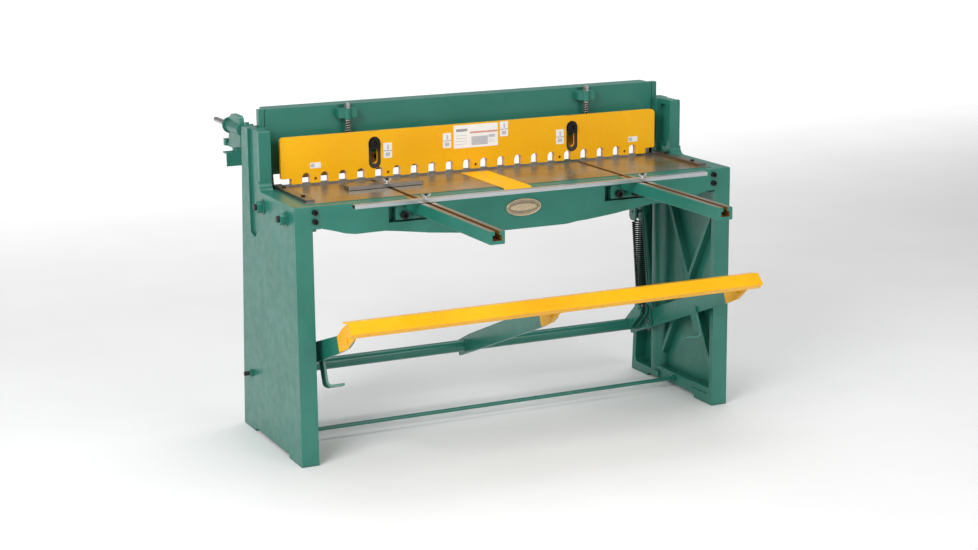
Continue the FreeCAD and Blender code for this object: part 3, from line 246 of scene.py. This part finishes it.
def plate_green():
    """The same enamel on rolled plate and tube, smoother than on the castings."""
    paint = Paint("plate_green_enamel")
    rough = paint.ramp(paint.noise(30.0), 0.3, 0.7, 0.26, 0.40)
    return paint.finish(Base_Color=green_colour(paint), Roughness=rough,
                        Coat_Weight=0.3, Coat_Roughness=0.15,
                        Normal=paint.bump(skin(paint, 380.0, 1.0), 0.2 * MM, 0.5, 0.8 * MM))


def ground_colour(paint, along):
    """Ground steel with fine grinding lines along one axis and a thin film of brown oil."""
    scale = {"X": (3.0, 900.0, 900.0), "Y": (900.0, 3.0, 900.0)}[along]
    lines = paint.noise(1.0, 2.0, 0.5, paint.stretched(scale))
    base = paint.mix(paint.ramp(lines, 0.3, 0.7), STEEL_DARK, STEEL)
    film = paint.ramp(paint.noise(7.0, 4.0), 0.36, 0.64, 0.25, 0.75)
    return paint.mix(film, base, OIL_BROWN), lines


def ground_and_green(name, ground, along):
    """Casting in green enamel, bare machined steel where the ground() mask is 1, brown inside its slots."""
    paint = Paint(name)
    mask = ground(paint)
    steel, lines = ground_colour(paint, along)
    deep = paint.maths("LESS_THAN", paint.axis("Z"), TABLE_Z - 1.0 * MM)
    steel = paint.mix(deep, steel, SLOT_BROWN)
    colour = paint.mix(mask, green_colour(paint), steel)
    metal = paint.maths("MULTIPLY", mask, paint.ramp(deep, 0.0, 1.0, 0.65, 0.3))
    enamel_rough = paint.ramp(paint.noise(28.0), 0.3, 0.7, 0.30, 0.46)
    steel_rough = paint.ramp(lines, 0.3, 0.7, 0.20, 0.34)
    rough = paint.ramp(mask, 0.0, 1.0, enamel_rough, steel_rough)
    height = paint.ramp(mask, 0.0, 1.0, skin(paint, 300.0, 2.5), paint.maths("MULTIPLY", lines, 0.15))
    return paint.finish(Base_Color=colour, Metallic=metal, Roughness=rough,
                        Normal=paint.bump(height, 0.35 * MM, 0.55, 1.2 * MM))


def in_slot(paint):
    """1 inside the T-slots, below the table face."""
    x = paint.maths("ABSOLUTE", paint.axis("X"))
    near = paint.maths("COMPARE", x, ARM_SLOT_X, SLOT_HALF)
    high = paint.maths("GREATER_THAN", paint.axis("Z"), TABLE_Z - SLOT_DEPTH)
    return paint.maths("MULTIPLY", near, high)


def table_mask(paint):
    top = paint.maths("GREATER_THAN", paint.axis("Z"), TABLE_Z - 0.2 * MM)
    back = paint.maths("GREATER_THAN", paint.axis("Y"), FRONT_Y + 12 * MM)
    slot = paint.maths("MULTIPLY", in_slot(paint), back)
    return paint.maths("MAXIMUM", top, slot)


def arm_mask(paint):
    top = paint.maths("GREATER_THAN", paint.axis("Z"), TABLE_Z - 0.2 * MM)
    end = paint.maths("LESS_THAN", paint.facing("Y"), -0.9)
    inside = paint.maths("MULTIPLY", in_slot(paint), paint.maths("SUBTRACT", 1.0, end))
    return paint.maths("MAXIMUM", top, inside)


def yellow_colour(paint):
    slow = paint.ramp(paint.noise(4.0, 3.0), 0.35, 0.65)
    colour = paint.mix(slow, YELLOW, YELLOW_PALE)
    patchy = paint.ramp(paint.noise(60.0), 0.52, 0.64, 0.0, 0.35)
    colour = paint.mix(paint.maths("MULTIPLY", paint.edges(1.2 * MM), patchy), colour, YELLOW_DIRT_AND_SHADE)
    # painted shade: ambient occlusion darkens the yellow toward dark yellow in corners and under ledges, at
    # up to 45 percent
    painted_corner_shade = paint.maths("MULTIPLY", paint.crevices(14 * MM), 0.45)
    return paint.mix(painted_corner_shade, colour, YELLOW_DIRT_AND_SHADE)


def yellow_enamel():
    paint = Paint("yellow_enamel")
    rough = paint.ramp(paint.noise(30.0), 0.3, 0.7, 0.24, 0.36)
    return paint.finish(Base_Color=yellow_colour(paint), Roughness=rough, Specular_IOR_Level=0.3,
                        Normal=paint.bump(skin(paint, 380.0, 1.2), 0.2 * MM, 0.5, 1.0 * MM))


def hold_down_paint():
    """Yellow enamel, with the bare blackened recess round each guide slot."""
    paint = Paint("hold_down_enamel")
    bolt = middle(GUIDE_BOLTS[1])
    x = paint.maths("ABSOLUTE", paint.axis("X"))
    near = paint.maths("COMPARE", x, bolt.x, GUIDE_HALF)
    deep = paint.maths("GREATER_THAN", paint.axis("Y"), HOLD_LOW.y + 0.4 * MM)
    shallow = paint.maths("LESS_THAN", paint.axis("Y"), HOLD_LOW.y + 6.4 * MM)
    high = paint.maths("GREATER_THAN", paint.axis("Z"), HOLD_LOW.z + 29 * MM)
    mask = near
    for bound in (deep, shallow, high):
        mask = paint.maths("MULTIPLY", mask, bound)
    colour = paint.mix(mask, yellow_colour(paint), (0.05, 0.04, 0.03))
    rough = paint.ramp(paint.noise(30.0), 0.3, 0.7, 0.24, 0.36)
    return paint.finish(Base_Color=colour, Roughness=rough, Specular_IOR_Level=0.3,
                        Normal=paint.bump(skin(paint, 380.0, 1.2), 0.2 * MM, 0.5, 1.0 * MM))


def bright_steel(name, along="X", tone=STEEL, rough=(0.24, 0.40)):
    """Drawn or ground bright steel with fine lines along one axis."""
    paint = Paint(name)
    scale = {"X": (4.0, 1200.0, 1200.0), "Y": (1200.0, 4.0, 1200.0), "Z": (1200.0, 1200.0, 4.0)}[along]
    lines = paint.noise(1.0, 2.0, 0.5, paint.stretched(scale))
    stain = paint.ramp(paint.noise(22.0, 4.0), 0.5, 0.7, 0.0, 0.5)
    pale = tuple(1.25 * c for c in tone)
    colour = paint.mix(stain, paint.mix(paint.ramp(lines, 0.3, 0.7), tone, pale), STEEL_DARK)
    return paint.finish(Base_Color=colour, Metallic=1.0, Roughness=paint.ramp(lines, 0.3, 0.7, *rough),
                        Normal=paint.bump(lines, 0.04 * MM, 0.6, 0.4 * MM))


def gauge_bar():
    """Bright bar whose end faces carry painted shade: near black inside a rim, as if the bar were a hollow
    tube.
    """
    paint = Paint("bright_gauge_bar")
    low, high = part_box("front_gauge_bar")
    lines = paint.noise(1.0, 2.0, 0.5, paint.stretched((4.0, 1200.0, 1200.0)))
    colour = paint.mix(paint.ramp(lines, 0.3, 0.7), (0.50, 0.52, 0.54), (0.66, 0.68, 0.70))
    # painted shade: the end faces inside a 1.3 mm rim are near black and not metallic, standing in for the
    # dark inside of a hollow bar
    end = paint.maths("GREATER_THAN", paint.maths("ABSOLUTE", paint.facing("X")), 0.9)
    for axis, a, b in (("Y", low.y, high.y), ("Z", low.z, high.z)):
        within = paint.maths("COMPARE", paint.axis(axis), (a + b) / 2, (b - a) / 2 - 1.3 * MM)
        end = paint.maths("MULTIPLY", end, within)
    colour = paint.mix(end, colour, (0.012, 0.012, 0.012))
    return paint.finish(Base_Color=colour, Metallic=paint.ramp(end, 0.0, 1.0, 1.0, 0.0),
                        Roughness=paint.ramp(lines, 0.3, 0.7, 0.28, 0.42),
                        Normal=paint.bump(lines, 0.04 * MM, 0.6, 0.4 * MM))


def plated(name, tone, low, high):
    """Zinc or nickel plate, slightly mottled."""
    paint = Paint(name)
    mottle = paint.ramp(paint.noise(220.0, 3.0), 0.35, 0.65)
    dull = tuple(0.8 * c for c in tone)
    rough = paint.ramp(paint.noise(90.0), 0.3, 0.7, low, high)
    return paint.finish(Base_Color=paint.mix(mottle, tone, dull), Metallic=1.0, Roughness=rough,
                        Normal=paint.bump(paint.noise(700.0, 2.0), 0.03 * MM, 0.4, 0.5 * MM))


def blackened(name, tone=BLACK, low=0.30, high=0.45):
    """Black oxide over steel, rubbed brighter on its edges."""
    paint = Paint(name)
    patchy = paint.ramp(paint.noise(260.0), 0.35, 0.65, 0.1, 0.5)
    rub = paint.maths("MULTIPLY", paint.edges(0.7 * MM), patchy)
    colour = paint.mix(rub, tone, (0.16, 0.15, 0.15))
    rough = paint.ramp(paint.noise(120.0), 0.3, 0.7, low, high)
    return paint.finish(Base_Color=colour, Metallic=0.6, Roughness=rough,
                        Normal=paint.bump(paint.noise(900.0, 2.0), 0.03 * MM, 0.5, 0.4 * MM))


def painted_studs():
    """Green washers and nuts on studs whose ends past the nuts stay black."""
    paint = Paint("painted_nuts_and_black_studs")
    nut_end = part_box("frame_bolts")[1].x - FRAME_STUD_END
    bare = paint.maths("GREATER_THAN", paint.maths("ABSOLUTE", paint.axis("X")), nut_end + 0.3 * MM)
    colour = paint.mix(bare, green_colour(paint), (0.03, 0.03, 0.032))
    rough = paint.ramp(paint.noise(60.0), 0.3, 0.7, 0.28, 0.42)
    return paint.finish(Base_Color=colour, Metallic=paint.maths("MULTIPLY", bare, 0.7), Roughness=rough,
                        Normal=paint.bump(skin(paint, 380.0, 1.0), 0.15 * MM, 0.5, 0.8 * MM))


def stud_steel():
    """Near-black stud below zinc-plated nuts."""
    paint = Paint("near_black_stud_and_zinc_nuts")
    nuts = paint.maths("GREATER_THAN", paint.axis("Z"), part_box("hold_down_studs")[1].z - STUD_NUTS)
    mottle = paint.ramp(paint.noise(220.0, 3.0), 0.35, 0.65)
    colour = paint.mix(nuts, (0.03, 0.03, 0.03), paint.mix(mottle, (0.62, 0.62, 0.60), (0.42, 0.42, 0.41)))
    return paint.finish(Base_Color=colour, Metallic=paint.ramp(nuts, 0.0, 1.0, 0.6, 1.0),
                        Roughness=paint.ramp(paint.noise(90.0), 0.3, 0.7, 0.24, 0.38),
                        Normal=paint.bump(paint.noise(700.0, 2.0), 0.03 * MM, 0.4, 0.5 * MM))


def bronze():
    paint = Paint("bearing_bronze")
    tarnish = paint.ramp(paint.noise(60.0, 4.0), 0.4, 0.65)
    colour = paint.mix(tarnish, (0.62, 0.36, 0.12), (0.28, 0.15, 0.06))
    return paint.finish(Base_Color=colour, Metallic=1.0,
                        Roughness=paint.ramp(paint.noise(90.0), 0.3, 0.7, 0.3, 0.5),
                        Normal=paint.bump(paint.noise(500.0), 0.03 * MM, 0.4, 0.4 * MM))


def badge_metal(name, tone, dark):
    """Cast plate, darker in its hollows."""
    paint = Paint(name)
    spots = paint.ramp(paint.noise(190.0, 3.0), 0.5, 0.72, 0.0, 0.6)
    patina = paint.maths("MAXIMUM", paint.crevices(3 * MM), spots)
    return paint.finish(Base_Color=paint.mix(patina, tone, dark), Metallic=0.85,
                        Roughness=paint.ramp(paint.noise(150.0), 0.3, 0.7, 0.28, 0.46),
                        Normal=paint.bump(paint.noise(600.0), 0.05 * MM, 0.5, 0.3 * MM))


def plain_label(name, tone, blocks):
    """Printed vinyl with plain coloured blocks and rules on it, and no lettering.

    Each block is its middle (x, z) from the label's middle, its half size (x, z), both in mm, and its colour.
    """
    paint = Paint(name)
    shade = paint.ramp(paint.noise(35.0), 0.3, 0.7, 0.0, 0.12)
    colour = paint.mix(shade, tone, (0.55, 0.54, 0.52))
    for (x, z), (half_x, half_z), ink in blocks:
        across = paint.maths("COMPARE", paint.axis("X"), x * MM, half_x * MM)
        up = paint.maths("COMPARE", paint.axis("Z"), z * MM, half_z * MM)
        worn = paint.ramp(paint.noise(240.0, 2.0), 0.25, 0.6, 0.35, 0.85)
        colour = paint.mix(paint.maths("MULTIPLY", paint.maths("MULTIPLY", across, up), worn), colour, ink)
    return paint.finish(Base_Color=colour, Roughness=paint.ramp(paint.noise(80.0), 0.3, 0.7, 0.35, 0.5),
                        Normal=paint.bump(paint.noise(400.0), 0.02 * MM, 0.4))


CAST = cast_green()
PLATE = plate_green()
YELLOW_PAINT = yellow_enamel()
OXIDE = blackened("black_oxide")
SPRING_BLACK = blackened("black_spring_wire", (0.010, 0.010, 0.011), 0.34, 0.5)
ZINC = plated("zinc_plate", (0.66, 0.66, 0.64), 0.22, 0.38)
SPRING_WIRE = plated("bright_spring_wire", (0.56, 0.55, 0.53), 0.24, 0.38)
DRAWN_X = bright_steel("drawn_steel_along_x")
DRAWN_Y = bright_steel("drawn_steel_along_y", "Y")
GAUGE_EDGE = bright_steel("side_gauge_steel", "Y", (0.22, 0.20, 0.18), (0.30, 0.48))
GREY_BAR = bright_steel("worn_gauge_bar", "X", (0.26, 0.25, 0.24), (0.30, 0.46))
BLADE = bright_steel("blade_steel", "X", (0.50, 0.50, 0.50), (0.20, 0.34))
INK_GREY = (0.34, 0.36, 0.44)
INK_DARK = (0.06, 0.05, 0.06)
INK_RED = (0.55, 0.10, 0.04)
SMALL_LABEL = plain_label("small_white_label", (0.88, 0.88, 0.86), [
    ((0, -1), (15, 1.2), INK_DARK), ((0, -13), (8, 6), INK_GREY), ((1, 11), (3, 8), INK_GREY)])
TINY_LABEL = plain_label("tiny_white_label", (0.86, 0.86, 0.82), [((-10, 0), (7, 6), INK_GREY)])
WIDE_LABEL = plain_label("wide_white_label", (0.90, 0.90, 0.89), [
    ((30, 12), (53, 3.2), INK_RED), ((-53, 22), (21, 4.5), INK_DARK), ((14, -17), (31, 15), INK_GREY),
    ((60, -4), (12, 5), INK_GREY), ((60, -17), (12, 0.8), INK_GREY), ((60, -24), (12, 0.8), INK_GREY),
    ((-55, 4), (20, 0.8), INK_GREY), ((-55, -6), (20, 0.8), INK_GREY), ((-55, -16), (20, 0.8), INK_GREY),
    ((-55, -26), (20, 0.8), INK_GREY)])
RELIEF = badge_metal("badge_relief", (0.62, 0.50, 0.34), (0.22, 0.15, 0.07))

LOOKS = {
    CAST: ["right_side_frame", "left_side_frame", "crosshead", "crosshead_ribs", "spring_hangers",
           "back_gauge_clamps", "left_link_clevis", "right_link_clevis"],
    PLATE: ["torque_tube", "left_treadle_arm", "middle_treadle_arm", "right_treadle_arm", "stop_straps",
            "spring_lugs", "tie_rod", "back_gauge_bar", "tie_rod_nuts", "pivot_jam_nuts", "left_link_rod",
            "right_link_rod", "back_gauge_collars"],
    painted_studs(): ["frame_bolts"],
    YELLOW_PAINT: ["treadle_board", "board_gussets", "gusset_bolts", "guide_strip"],
    hold_down_paint(): ["hold_down"],
    ground_and_green("bed_enamel_and_ground_steel", table_mask, "X"): ["bed_casting"],
    ground_and_green("arm_enamel_and_ground_steel", arm_mask, "Y"): ["left_extension_arm",
                                                                     "right_extension_arm"],
    BLADE: ["lower_blade", "upper_blade"],
    GAUGE_EDGE: ["side_gauges"],
    gauge_bar(): ["front_gauge_bar"],
    GREY_BAR: ["short_gauge_bar"],
    DRAWN_Y: ["gauge_rods"],
    DRAWN_X: ["tube_bushes"],
    ZINC: ["left_wing_nut", "right_wing_nut", "short_gauge_wing_nut", "lever_pins", "link_pins"],
    stud_steel(): ["hold_down_studs"],
    bronze(): ["guide_gibs"],
    badge_metal("badge_base", (0.30, 0.25, 0.18), (0.07, 0.055, 0.035)): ["badge_plate"],
    OXIDE: ["gib_screws", "ear_screws", "pivot_screws", "lower_blade_screws", "upper_blade_screws",
            "side_gauge_screws", "arm_screws", "hold_down_guide_bolts", "front_gauge_bolts",
            "short_gauge_bolt"],
}


def dress_cad_nodes():
    for material, names in LOOKS.items():
        for name in names:
            data = NODES[name].data
            data.materials.clear()
            data.materials.append(material)


# ---------------------------------------------------------------- mesh helpers
def piece(name, vertices, faces, material, body, smooth=True, at=(0, 0, 0)):
    """New visible piece that rides on a CAD body; its points are measured from the place at."""
    data = bpy.data.meshes.new(name)
    data.from_pydata([tuple(v) for v in vertices], [], faces)
    data.polygons.foreach_set("use_smooth", [smooth] * len(data.polygons))
    data.materials.append(material)
    data.update()
    made = bpy.data.objects.new(name, data)
    made.location = at
    bpy.context.scene.collection.objects.link(made)
    if body:
        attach(made, body)
    return made


def sides(rings, around, closed):
    """Faces between consecutive rings of points, with caps at open ends."""
    faces = []
    count = rings if closed else rings - 1
    for r in range(count):
        here, there = r * around, (r + 1) % rings * around
        for k in range(around):
            n = (k + 1) % around
            faces.append((here + k, here + n, there + n, there + k))
    if not closed:
        faces.append(tuple(reversed(range(around))))
        faces.append(tuple(range((rings - 1) * around, rings * around)))
    return faces


def swept(path, radius, around=10, closed=False):
    """Round wire along a list of points, turned as little as possible from one to the next."""
    count = len(path)
    vertices = []
    normal = None
    for k, point in enumerate(path):
        before = path[k - 1] if closed or k else point
        after = path[(k + 1) % count] if closed or k < count - 1 else point
        tangent = (after - before).normalized()
        if normal is None:
            normal = tangent.orthogonal().normalized()
        normal = (normal - tangent * normal.dot(tangent)).normalized()
        side = tangent.cross(normal)
        for j in range(around):
            a = 2 * math.pi * j / around
            vertices.append(point + (normal * math.cos(a) + side * math.sin(a)) * radius)
    return vertices, sides(count, around, closed)


def frame_along(direction):
    """Turns +Z onto a direction."""
    return Vector((0, 0, 1)).rotation_difference(Vector(direction).normalized()).to_matrix()


def thread(name, body, material, start, end, radius, pitch=1.5 * MM):
    """Screw thread over a plain shank, with a tapered run-in at its far end."""
    start, end = Vector(start), Vector(end)
    length = (end - start).length
    around, steps = 32, 8
    rings = max(4, int(length / pitch * steps))
    depth = 0.45 * pitch
    turn = frame_along(end - start)
    vertices = []
    for r in range(rings + 1):
        height = length * r / rings
        for k in range(around):
            phase = height / pitch - k / around
            ridge = abs(phase % 1.0 - 0.5) * 2
            fade = min(1.0, (length - height) / pitch + 0.15)
            reach = radius + 0.05 * MM + depth * ridge * fade
            a = 2 * math.pi * k / around
            vertices.append(start + turn @ Vector((reach * math.cos(a), reach * math.sin(a), height)))
    return piece(name, vertices, sides(rings + 1, around, False), material, body)


# ---------------------------------------------------------------- springs
def hold_down_springs():
    """Open coils round the studs, riding on the hold-down assembly; the real springs shorten as the crosshead
    comes down, these coils keep their length.
    """
    low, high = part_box("hold_down_springs")
    wire, turns, steps = 1.55 * MM, 20, 22
    mean = 10.35 * MM
    dead = 1.3 / turns                     # share of the wire in the closed turns at each end
    z0, z1 = low.z + wire, high.z - wire - 0.3 * MM
    studs = [box for box in solids("hold_down_studs") if extent(box).z > LONG]
    for side, stud in zip(("left", "right"), studs):
        centre = middle(stud)
        path = []
        for k in range(turns * steps + 1):
            share = k / (turns * steps)
            rise = min(1.0, max(0.0, (share - dead) / (1 - 2 * dead)))
            flat = min(share, dead) / dead + max(0.0, share - 1 + dead) / dead
            z = z0 + 2 * wire * flat + (z1 - z0 - 4 * wire) * rise
            a = 2 * math.pi * turns * share
            path.append(Vector((centre.x + mean * math.cos(a), centre.y + mean * math.sin(a), z)))
        vertices, faces = swept(path, wire, 10)
        coil = piece(side + "_hold_down_coil", vertices, faces, SPRING_WIRE,
                     "hold_down_assembly")
        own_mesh(coil)
        if side == "left":
            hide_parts("hold_down_springs")


def return_springs():
    """Open-wound coils from the hangers to the treadle's lugs, coned down to an eye at each end."""
    wire, steps = 2.4 * MM, 24
    mean, pitch = 18.5 * MM, 7.4 * MM
    upper_eye, lower_eye = 9.4 * MM, 14.5 * MM
    neck = 17 * MM                         # from an eye's middle to the start of the cone
    across = Vector((1, 0, 0))
    for side in ("left", "right"):
        hook_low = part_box(side + "_spring_hook")[0]
        swing = next(j for j in frame["joints"] if j["name"] == side + "_spring_swing")
        stretch = next(j for j in frame["joints"] if j["name"] == side + "_spring_stretch")
        top = Vector(swing["pos_m"])
        down = Vector(stretch["axis"]).normalized()
        ahead = down.cross(across)
        eye = (top.z - hook_low.z - neck) / -down.z        # depth of the lower eye's middle
        first, last = 35 * MM, eye - 49 * MM               # the coil proper, from depth to depth
        turns = int((last - first) / pitch)

        def at(depth, radius, turn):
            a = 2 * math.pi * turn
            return top + down * depth + (ahead * math.cos(a) + across * math.sin(a)) * radius

        def loop(depth, radius, start, end):
            path = []
            for k in range(25):
                a = math.radians(start + (end - start) * k / 24)
                path.append(top + ahead * (radius * math.cos(a)) + down * (depth + radius * math.sin(a)))
            return path

        path = loop(0, upper_eye, -240, 90)
        for k in range(1, 17):
            share = k / 16
            path.append(at(neck + (first - neck) * share, mean * share ** 0.7, 0.8 * (share - 1)))
        for k in range(1, turns * steps):
            share = k / (turns * steps)
            path.append(at(first + (last - first) * share, mean, turns * share))
        for k in range(17):
            share = 1 - k / 16
            path.append(at(last + 20 * MM * (1 - share), mean * share ** 0.7, 0.8 * (1 - share)))
        path += loop(eye, lower_eye, -90, 240)
        vertices, faces = swept(path, wire, 10)
        spring = piece(side + "_return_coil", vertices, faces, SPRING_BLACK, None)
        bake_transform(spring)
        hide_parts(side + "_return_spring", side + "_spring_hook")


# ---------------------------------------------------------------- threads and welds
def side_thread(name, box, inner, outer, radius, pitch=1.5 * MM):
    """Thread on a screw that lies across the machine, between two distances from the screw's outer end."""
    side = math.copysign(1, middle(box).x)
    out = max(abs(box[0].x), abs(box[1].x))
    start = (side * (out - inner), middle(box).y, middle(box).z)
    end = (side * (out - outer), middle(box).y, middle(box).z)
    thread(name, "root", OXIDE, start, end, radius, pitch)


def threads():
    """Threads on the ends of studs and screws that stand out of their nuts."""
    studs = [box for box in solids("frame_bolts") if extent(box).x > LONG]
    for number, box in enumerate(studs):
        side_thread("frame_stud_thread_%d" % number, box, 10 * MM, 0.2 * MM, 10 * MM, 2 * MM)
    for number, box in enumerate(solids("pivot_screws")):
        side_thread("pivot_screw_thread_%d" % number, box, 19 * MM, 3.4 * MM, 7 * MM)
    screws = [box for box in solids("gib_screws") if extent(box).z < 11 * MM]    # not the lock nuts
    for number, box in enumerate(screws):
        start = (middle(box).x, box[1].y - 13 * MM, middle(box).z)
        end = (middle(box).x, box[1].y - 0.2 * MM, middle(box).z)
        thread("gib_screw_thread_%d" % number, "root", OXIDE, start, end, 5 * MM, 1.25 * MM)


def weld_ring(name, middle_x, radius, bead, body):
    """Rippled bead round the torque tube."""
    pivot = next(j for j in frame["joints"] if j["name"] == "treadle_pivot")
    centre = Vector((middle_x, pivot["pos_m"][1], pivot["pos_m"][2]))
    around, rings = 10, 240
    vertices = []
    for r in range(rings):
        turn = 2 * math.pi * r / rings
        out = Vector((0, math.cos(turn), math.sin(turn)))
        ripple = 1 + 0.10 * math.sin(40 * turn) + 0.08 * math.sin(3 * turn + 40 * middle_x)
        reach = bead * ripple
        for k in range(around):
            a = 2 * math.pi * k / around
            along = Vector((reach * math.sin(a), 0, 0))
            vertices.append(centre + out * (radius + reach * math.cos(a)) + along)
    piece(name, vertices, sides(rings, around, True), PLATE, body)


def tube_welds():
    """A bead on each side of the three treadle arms."""
    radius = extent(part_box("torque_tube")).z / 2
    for arm in ("left", "middle", "right"):
        low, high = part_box(arm + "_treadle_arm")
        for number, x in enumerate((low.x, high.x)):
            weld_ring("%s_arm_weld_%d" % (arm, number), x, radius, 2.6 * MM, "treadle_assembly")


# ---------------------------------------------------------------- labels and badge
def rounded_plate(name, centre, half_x, half_z, thick, corner, material, body):
    """Thin plate facing the operator, with round corners and a softened front edge."""
    outline = []
    for x, z, start in ((1, 1, 0), (-1, 1, 90), (-1, -1, 180), (1, -1, 270)):
        for k in range(7):
            a = math.radians(start + 15 * k)
            outline.append((x * (half_x - corner) + corner * math.cos(a),
                            z * (half_z - corner) + corner * math.sin(a)))
    soft = min(0.3 * MM, thick / 2)
    vertices = [Vector((x, 0, z)) for x, z in outline]
    vertices += [Vector((x, -thick + soft, z)) for x, z in outline]
    vertices += [Vector((x * (1 - soft / half_x), -thick, z * (1 - soft / half_z))) for x, z in outline]
    return piece(name, vertices, sides(3, len(outline), False), material, body, smooth=False, at=centre)


def label(name, x, z, half_x, half_z, corner, material):
    """Printed label on the hold-down's front."""
    rounded_plate(name, (x, HOLD_LOW.y, z), half_x, half_z, 0.4 * MM, corner, material,
                  "hold_down_assembly")


def labels():
    """One wide, four upright and two low labels."""
    label("wide_label", 1.5 * MM, 0.9665, 83.5 * MM, 39.5 * MM, 2 * MM, WIDE_LABEL)
    beside = middle(GUIDE_BOLTS[1]).x - 47.5 * MM
    small = [(-0.107, 0.9575), (0.1085, 0.982), (-beside, 0.941), (beside, 0.9385)]
    for number, (x, z) in enumerate(small):
        label("small_label_%d" % number, x, z, 15.3 * MM, 25.6 * MM, 1.5 * MM, SMALL_LABEL)
    for number, (x, z) in enumerate([(-0.585, 0.911), (0.6175, 0.908)]):
        label("tiny_label_%d" % number, x, z, 19.0 * MM, 9.6 * MM, 1.5 * MM, TINY_LABEL)


def window_webs():
    """Cast webs that close each apron window beside its arm's seat."""
    half_x, half_z, thick, corner = 18 * MM, 29 * MM, 6 * MM, 3 * MM
    beside = 76 * MM                       # from the arm's middle to the web's
    y, z = FRONT_Y + 40 * MM, TABLE_Z - 50.5 * MM
    for side in ("left", "right"):
        arm_x = middle(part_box(side + "_extension_arm")).x
        for number, x in enumerate((arm_x - beside, arm_x + beside)):
            rounded_plate("window_web_%s_%d" % (side, number), (x, y, z), half_x, half_z, thick, corner,
                          CAST, "root")


def badge_relief():
    """Raised rim, inner ring and a plain ribbed lens on the oval plate."""
    low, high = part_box("badge_plate")
    centre = Vector((0, low.y, (low.z + high.z) / 2))
    half_x, half_z = extent((low, high)).x / 2, extent((low, high)).z / 2
    for name, inset, wire in (("badge_rim", 2.6 * MM, 2.2 * MM), ("badge_ring", 8.5 * MM, 0.8 * MM)):
        path = []
        for k in range(96):
            a = 2 * math.pi * k / 96
            path.append(Vector(((half_x - inset) * math.cos(a), 0, (half_z - inset) * math.sin(a))))
        vertices, faces = swept(path, wire, 10, True)
        flat = [Vector((v.x, v.y * 0.6, v.z)) for v in vertices]
        piece(name, flat, faces, RELIEF, "root", at=centre)
    across, up, ribs = 140, 10, 14
    wide, tall, deep = half_x - 16 * MM, 11 * MM, 1.5 * MM
    vertices, faces = [], []
    for i in range(across + 1):
        u = -1 + 2 * i / across
        for j in range(up + 1):
            v = -1 + 2 * j / up
            swell = (1 - v * v) * (1 - u ** 6)
            rib = 0.55 + 0.45 * math.cos(math.pi * ribs * u)
            taper = math.sqrt(max(0.0, 1 - u * u))
            vertices.append(Vector((u * wide, -deep * swell * rib, v * tall * taper)))
    for i in range(across):
        for j in range(up):
            here = i * (up + 1) + j
            faces.append((here, here + up + 1, here + up + 2, here + 1))
    piece("badge_lens", vertices, faces, RELIEF, "root", at=centre)


# ---------------------------------------------------------------- camera, light and floor
def camera():
    """Three-quarter view from the operator's left, a little above the table."""
    place = Vector((-2.853, -6.031, 2.007))
    yaw, pitch, roll = math.radians(25.379), math.radians(12.782), math.radians(-0.527)
    ahead = Vector((math.sin(yaw) * math.cos(pitch), math.cos(yaw) * math.cos(pitch), -math.sin(pitch)))
    right = Vector((math.cos(yaw), -math.sin(yaw), 0))
    up = right.cross(ahead)
    rolled_right = right * math.cos(roll) + up * math.sin(roll)
    rolled_up = up * math.cos(roll) - right * math.sin(roll)
    data = bpy.data.cameras.new("camera")
    data.sensor_width = 36.0
    data.lens = 73.21
    data.clip_end = 100
    made = bpy.data.objects.new("camera", data)
    basis = Matrix((rolled_right, rolled_up, -ahead)).transposed().to_4x4()
    made.matrix_world = Matrix.Translation(place) @ basis
    bpy.context.scene.collection.objects.link(made)
    bpy.context.scene.camera = made


def area_light(name, place, target, size, power, spread=math.pi):
    data = bpy.data.lights.new(name, "AREA")
    data.shape = "RECTANGLE"
    data.size, data.size_y = size
    data.energy = power
    data.spread = spread
    lamp = bpy.data.objects.new(name, data)
    lamp.location = place
    lamp.rotation_euler = (Vector(target) - Vector(place)).to_track_quat("-Z", "Y").to_euler()
    bpy.context.scene.collection.objects.link(lamp)


def studio():
    """White world, four lamps and a pale floor."""
    world = bpy.data.worlds.new("studio")
    world.use_nodes = True
    world.node_tree.nodes["Background"].inputs["Color"].default_value = (1.0, 1.0, 1.0, 1.0)
    world.node_tree.nodes["Background"].inputs["Strength"].default_value = 0.36
    bpy.context.scene.world = world
    bpy.context.scene.view_settings.view_transform = "Standard"
    aim = (0.0, 0.0, 0.6)
    area_light("key", (-4.5, -3.2, 3.6), aim, (3.0, 3.0), 270)
    area_light("front", (1.8, -6.0, 3.4), aim, (4.0, 2.5), 120)
    area_light("top", (0.5, 1.0, 4.6), aim, (4.0, 3.0), 90)
    area_light("backdrop", (5.5, 12.0, 6.0), (5.5, 12.0, 0.0), (34.0, 16.0), 1500, math.radians(70))
    floor_paint = Paint("pale_floor")
    clouds = floor_paint.ramp(floor_paint.noise(1.5), 0.3, 0.7)
    tone = floor_paint.mix(clouds, (0.91, 0.91, 0.91), (0.94, 0.94, 0.94))
    floor_look = floor_paint.finish(Base_Color=tone, Roughness=0.6)
    half = 30.0
    corners = [(-half, -half, 0), (half, -half, 0), (half, half, 0), (-half, half, 0)]
    data = bpy.data.meshes.new("floor")
    data.from_pydata(corners, [], [(0, 1, 2, 3)])
    data.materials.append(floor_look)
    floor = bpy.data.objects.new("floor", data)
    bpy.context.scene.collection.objects.link(floor)


# ---------------------------------------------------------------- scene
dress_cad_nodes()
hold_down_springs()
return_springs()
threads()
tube_welds()
labels()
window_webs()
badge_relief()
camera()
studio()
